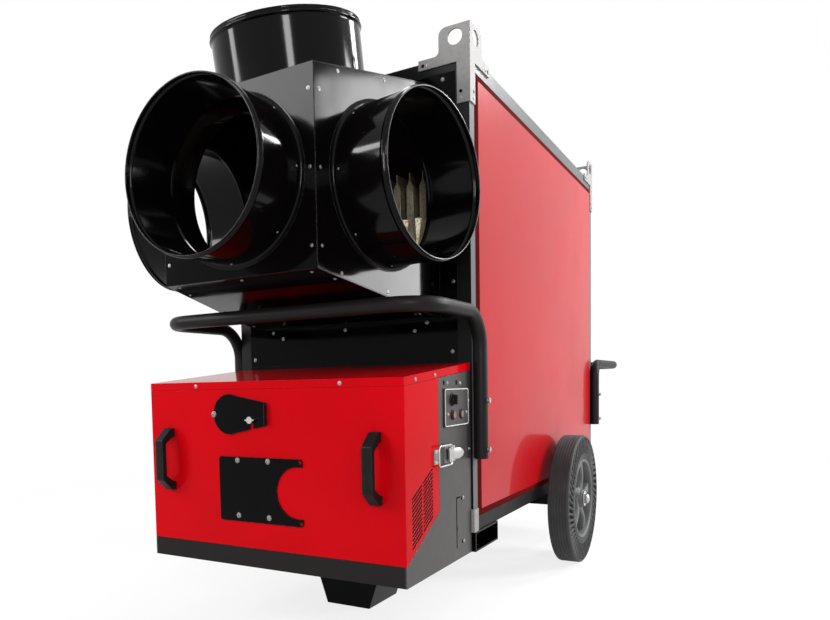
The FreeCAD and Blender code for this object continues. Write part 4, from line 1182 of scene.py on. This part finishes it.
@dataclass
class Latch:
    """The toggle latches that pull the hood against the side plates."""

    x: float = 363
    z: float = 440
    pivot: float = 212
    bail_pivot: float = 224
    bail_end: float = 150
    bail_half: float = 22.5
    wire: float = 2.2
    bail_corner: float = 10
    lever_start: float = 206
    lever_end: float = 281
    lever_half: float = 14
    lever_gauge: float = 2.4
    lever_flange: float = 4
    lever_lift: float = 5
    lever_steps: int = 18
    pin: float = 2.1
    plate_face: float = 354
    rivet_rows: tuple[tuple[str, str, float, float, float, float], ...] = (
        ("latch_base_rivets", "cabinet", 248, 12, 2.5, 2.6),
        ("latch_catch_rivets", "hood", 143.5, 12.5, 2, 2.2))

    def bail(self, name: str, side: int) -> None:
        """The wire loop.

        Args:
            name: the side's name.
            side: 1 on the right, -1 on the left.
        """
        corners = oblong((self.bail_end, self.bail_pivot), (-self.bail_half, self.bail_half))
        path = [row(side * self.x, y, self.z + z) for y, z in rounded(corners, self.bail_corner, 8)]
        mesh = Mesher()
        mesh.sweep(path, self.wire, 12, closed=True)
        mesh.finish(f"latch_wire_{name}", Look.BRIGHT, f"bail_{name}", smooth=50,
                    replaced=(f"latch_bail_{name}",))

    def lever(self, name: str, side: int) -> None:
        """The lever: a pressed tongue with turned-in edges and a rounded, lifted end.

        Args:
            name: the side's name.
            side: 1 on the right, -1 on the left.
        """
        rings = []
        for step in range(self.lever_steps + 1):
            t = step / self.lever_steps
            y = self.lever_start + (self.lever_end - self.lever_start) * t
            end = max(0, (t - 0.72) / 0.28)
            half = self.lever_half * (1 - 0.12 * t) * math.sqrt(max(0.02, 1 - end ** 2.2))
            lift = self.lever_lift * max(0, t - 0.45) ** 1.6 * 2.2
            crown = 1.4 * math.sin(math.pi * min(1, t * 1.2))
            outer, inner = lift + self.lever_gauge / 2, lift - self.lever_gauge / 2
            lip = inner - self.lever_flange * (1 - end)
            section = mirrored([(outer, 0.86 * half), (outer - 1.2, half), (lip, half), (lip, half - 1.4),
                                (inner, half - 2.2)]) + [(outer + crown, 0)]
            rings.append([row(side * (self.x + a), y, self.z + b) for a, b in section])
        mesh = Mesher()
        mesh.loops(rings, ends=True)
        for y, radius in ((self.pivot, 4.4), (self.bail_pivot, 4.2)):
            mesh.lathe(oblong((self.pin, radius), (0, 2 * self.lever_half)), 24,
                       facing((0, 0, 1), row(side * self.x, y, self.z - self.lever_half)))
        mesh.finish(f"latch_tongue_{name}", Look.BRIGHT, f"lever_{name}", smooth=40,
                    replaced=(f"latch_lever_{name}",))

    def rivets(self) -> None:
        """Rivets of the latch bases and of the catches."""
        for name, body, y, rise, proud, radius in self.rivet_rows:
            mesh = Mesher()
            for side in (1, -1):
                for z in (self.z + rise, self.z - rise):
                    mesh.screw(row(side * (self.plate_face + proud), y, z), (side, 0, 0), radius, 1.1)
            mesh.finish(name, Look.SCREW, body)

    def build(self) -> None:
        """Build the latches' pieces."""
        for name, side in SIDES:
            self.bail(name, side)
            self.lever(name, side)
        self.rivets()


@dataclass
class Exchanger:
    """The heat exchanger above the furnace: a header under a row of flat pinched tubes."""

    front: float = 398
    long: float = 807
    half: float = 237
    base: float = 940
    header: float = 1027
    shoulder: float = 1108
    peak: float = 1142
    pitch: float = 36.5
    tube_half: float = 9.5
    count: int = 13
    pleat_deep: float = 9
    ledge: float = 3

    def tubes(self) -> None:
        """The flat tubes, each with a pinched crest."""
        mesh = Mesher()
        h, top = self.tube_half, self.shoulder
        outline = mirrored([(self.header, h), (top - 4, h), (top + 2, 0.8 * h), (top + 9, 0.42 * h),
                            (top + 15, 0.2 * h), (self.peak, 0.2 * h)])
        for index in range(self.count):
            x = (index - (self.count - 1) / 2) * self.pitch
            mesh.prism([(x + u, v) for v, u in outline], self.long, self.seat())
        mesh.finish("exchanger_tubes", Look.STEEL, "cabinet", bevel=0.8, replaced=("heat_exchanger",))

    def seat(self) -> Matrix:
        """The frame of the front faces: outlines run across and up, depth runs to the rear."""
        return swapped(row(0, self.front, 0), "uwv")

    def casing(self) -> None:
        """The header box with its welded ledge and pinched pleats."""
        mesh = Mesher()
        across, ledge = (-self.half, self.half), self.header - self.ledge
        for levels in ((self.base, ledge), (ledge, self.header)):
            mesh.prism(oblong(across, levels), self.long, self.seat())
        top, low = self.header - 4, self.base + 4
        for index in range(self.count - 1):
            x = (index - self.count / 2 + 1) * self.pitch
            ends = ((top, 0.42 * self.pitch, self.pleat_deep), (low, 2, 2))
            mesh.loops([[row(x + u, self.front - v, z) for u, v in ((-wide, 0), (0, deep), (wide, 0))]
                        for z, wide, deep in ends], ends=True)
        mesh.finish("exchanger_header", Look.STEEL, "cabinet", bevel=0.8)

    def build(self) -> None:
        """Build the exchanger's pieces."""
        self.tubes()
        self.casing()


@dataclass
class Cabinet:
    """The cabinet's bolts and screws, and the painted shade of its brackets' spare holes."""

    half: float = 362
    front: float = 363
    rear: float = 1703
    panel_front: float = 367
    panel_rear: float = 1699
    bracket_rows: tuple[tuple[float, float, bool], ...] = (
        (24, 1283, False), (24, 1299, True), (107, 1380, False), (122, 1380, True))
    bolt: float = 3.8
    hole: float = 4.2
    front_screws: Spots = ((308, 680), (206, 736), (240, 755), (0, 750), (312, 851),
                           (312, 1010), (312, 1180), (290, 1338), (100, 1338))
    rear_screw_x: float = 311
    rear_levels: tuple[float, ...] = (300, 480, 660, 840, 1020, 1200, 1330)

    def bracket_bolts(self) -> None:
        """Bolts of the lifting brackets, each beside a spare hole, which is a dark disc of painted shade."""
        bolts, holes = Mesher(), Mesher()
        hole = [(0, 0.15), (self.hole, 0.15), (self.hole, 0)]
        corners = [(side, *end) for side in (1, -1) for end in ((self.front, 1), (self.rear, -1))]
        for side, edge, way in corners:
            for reach, z, spare in self.bracket_rows:
                for spot, axis in ((row(side * (self.half - reach), edge, z), (0, -way, 0)),
                                   (row(side * self.half, edge + way * reach, z), (side, 0, 0))):
                    if spare:
                        # Painted shade: a dark disc just proud of the bracket stands for the spare hole.
                        holes.lathe(hole, 20, facing(axis, spot), closed=False)
                    else:
                        bolts.screw(spot, axis, self.bolt, 1.25)
        bolts.finish("bracket_bolts", Look.SCREW, "cabinet")
        holes.finish("bracket_hole_shade", Look.DARK, "cabinet")

    def panel_screws(self) -> None:
        """Screws of the front and rear panels."""
        mesh = Mesher()
        for x, z in self.front_screws:
            for side in ((1, -1) if x else (1,)):
                mesh.screw(row(side * x, self.panel_front, z), FORWARD, self.bolt)
        for side in (1, -1):
            for z in self.rear_levels:
                mesh.screw(row(side * self.rear_screw_x, self.panel_rear, z), (0, 1, 0), self.bolt)
        mesh.finish("panel_screws", Look.SCREW, "cabinet")

    def build(self) -> None:
        """Build the cabinet's pieces."""
        self.bracket_bolts()
        self.panel_screws()


@dataclass
class Studio:
    """Floor, soft light and the camera at the photograph's place."""

    floor_half: float = 40
    floor_fade: Pair = (1.2, 3.6)
    floor_glow: float = 0.8
    eye: Triple = (981.1, -1268.8, 602)
    yaw: float = 31.12
    pitch: float = -3.45
    roll: float = -1.20
    focal: float = 704.1
    centre: Pair = (345.33, 427.64)
    frame_size: Pair = (830, 620)
    sensor: float = 36
    fill: float = 0.4
    lamps: tuple[tuple[str, Triple, Triple, Pair, float], ...] = (
        ("key", (-2.1, -4.05, 2.75), (0, -0.9, 0.7), (1.3, 0.8), 80),
        ("right", (3.1, 1.8, 2), (0.2, -0.3, 0.9), (0.9, 1.7), 160),
        ("behind", (2.8, -4.85, 2), (0, -0.85, 1.35), (0.75, 1.5), 135),
        ("left", (-3.1, -3.3, 2.05), (0, -0.8, 1.3), (0.6, 1.3), 55),
        ("high", (1.75, 2.35, 3.05), (0.2, -0.9, 1.1), (0.7, 0.6), 70),
        ("brow", (-2.5, -3.06, 3.1), (0.2, -0.9, 1), (0.5, 0.4), 18),
        ("top", (0, 0.4, 4.2), (0, -0.4, 0.8), (1.2, 0.8), 60))

    def seen(self, graph: Graph) -> Wire:
        """One for rays that show the background: camera, mirror and glass rays.

        Args:
            graph: the graph that needs it.

        Returns:
            The wire of that one or zero.
        """
        camera, mirror, glass = (graph.add("ShaderNodeLightPath", {}, f"Is {name} Ray")
                                 for name in ("Camera", "Glossy", "Transmission"))
        return camera.larger(mirror).larger(glass)

    def floor(self) -> None:
        """A pale floor that keeps a faint shadow."""
        mesh = bpy.data.meshes.new("floor")
        reach = (-self.floor_half, self.floor_half)
        mesh.from_pydata([(x, y, 0) for x, y in oblong(reach, reach)], [], [(0, 1, 2, 3)])
        material = bpy.data.materials.new("pale_floor")
        material.use_nodes = True
        graph = Graph(material.node_tree)
        matt = graph.add("ShaderNodeBsdfDiffuse", {"Color": (0.86, 0.86, 0.86)})
        glow = graph.add("ShaderNodeEmission", {"Color": (1, 1, 1), "Strength": 1})
        away = graph.add("ShaderNodeVectorMath", {0: graph.place()}, "Value", operation="LENGTH")
        share = away.between(*self.floor_fade) * (1 - self.floor_glow) + self.floor_glow
        mixed = graph.add("ShaderNodeMixShader", {0: self.seen(graph) * share, 1: matt, 2: glow})
        graph.make("ShaderNodeOutputMaterial", {"Surface": mixed})
        mesh.materials.append(material)
        ground = placed("floor", mesh)

    def sky(self) -> None:
        """White where it shows, dimmer as light."""
        world = bpy.data.worlds.new("studio")
        world.use_nodes = True
        graph = Graph(world.node_tree)
        strength = self.seen(graph) * (1 - self.fill) + self.fill
        shine = graph.add("ShaderNodeBackground", {"Color": (1, 1, 1), "Strength": strength})
        graph.make("ShaderNodeOutputWorld", {"Surface": shine})
        bpy.context.scene.world = world

    def lights(self) -> None:
        """Large soft lamps."""
        for name, place, aim, spread, power in self.lamps:
            lamp = bpy.data.lights.new(name, "AREA")
            lamp.shape = "RECTANGLE"
            lamp.size, lamp.size_y = spread
            lamp.energy = power
            holder = placed(name, lamp)
            holder.location = place
            holder.rotation_euler = (Vector(aim) - Vector(place)).to_track_quat("-Z", "Y").to_euler()

    def camera(self) -> None:
        """The camera, with the photograph's shift."""
        turn = Matrix()
        for angle, axis in ((self.yaw, "Z"), (90 + self.pitch, "X"), (self.roll, "Z")):
            turn = turn @ Matrix.Rotation(math.radians(angle), 4, axis)
        lens = bpy.data.cameras.new("photo_camera")
        wide, tall = self.frame_size
        lens.sensor_width = self.sensor
        lens.sensor_fit = "HORIZONTAL"
        lens.lens = self.focal / wide * self.sensor
        lens.shift_x = (wide / 2 - self.centre[0]) / wide
        lens.shift_y = (self.centre[1] - tall / 2) / wide
        lens.clip_end = 200
        holder = placed("photo_camera", lens)
        holder.matrix_world = Matrix.Translation(row(*self.eye)) @ turn
        bpy.context.scene.camera = holder

    def build(self) -> None:
        """Set the stage."""
        self.floor()
        self.sky()
        self.lights()
        self.camera()
        bpy.context.scene.view_settings.view_transform = "Standard"


def main() -> None:
    """Build every piece."""
    logging.basicConfig(level=logging.INFO, format="%(message)s")
    Studio().build()
    dress_nodes()
    for assembly in (Plenum(), Exchanger(), Wheel(), BurnerHood(), Latch(), ControlPanel(), Cabinet()):
        LOG.info("assembly %s", type(assembly).__name__)
        assembly.build()


if __name__ == "__main__":
    main()
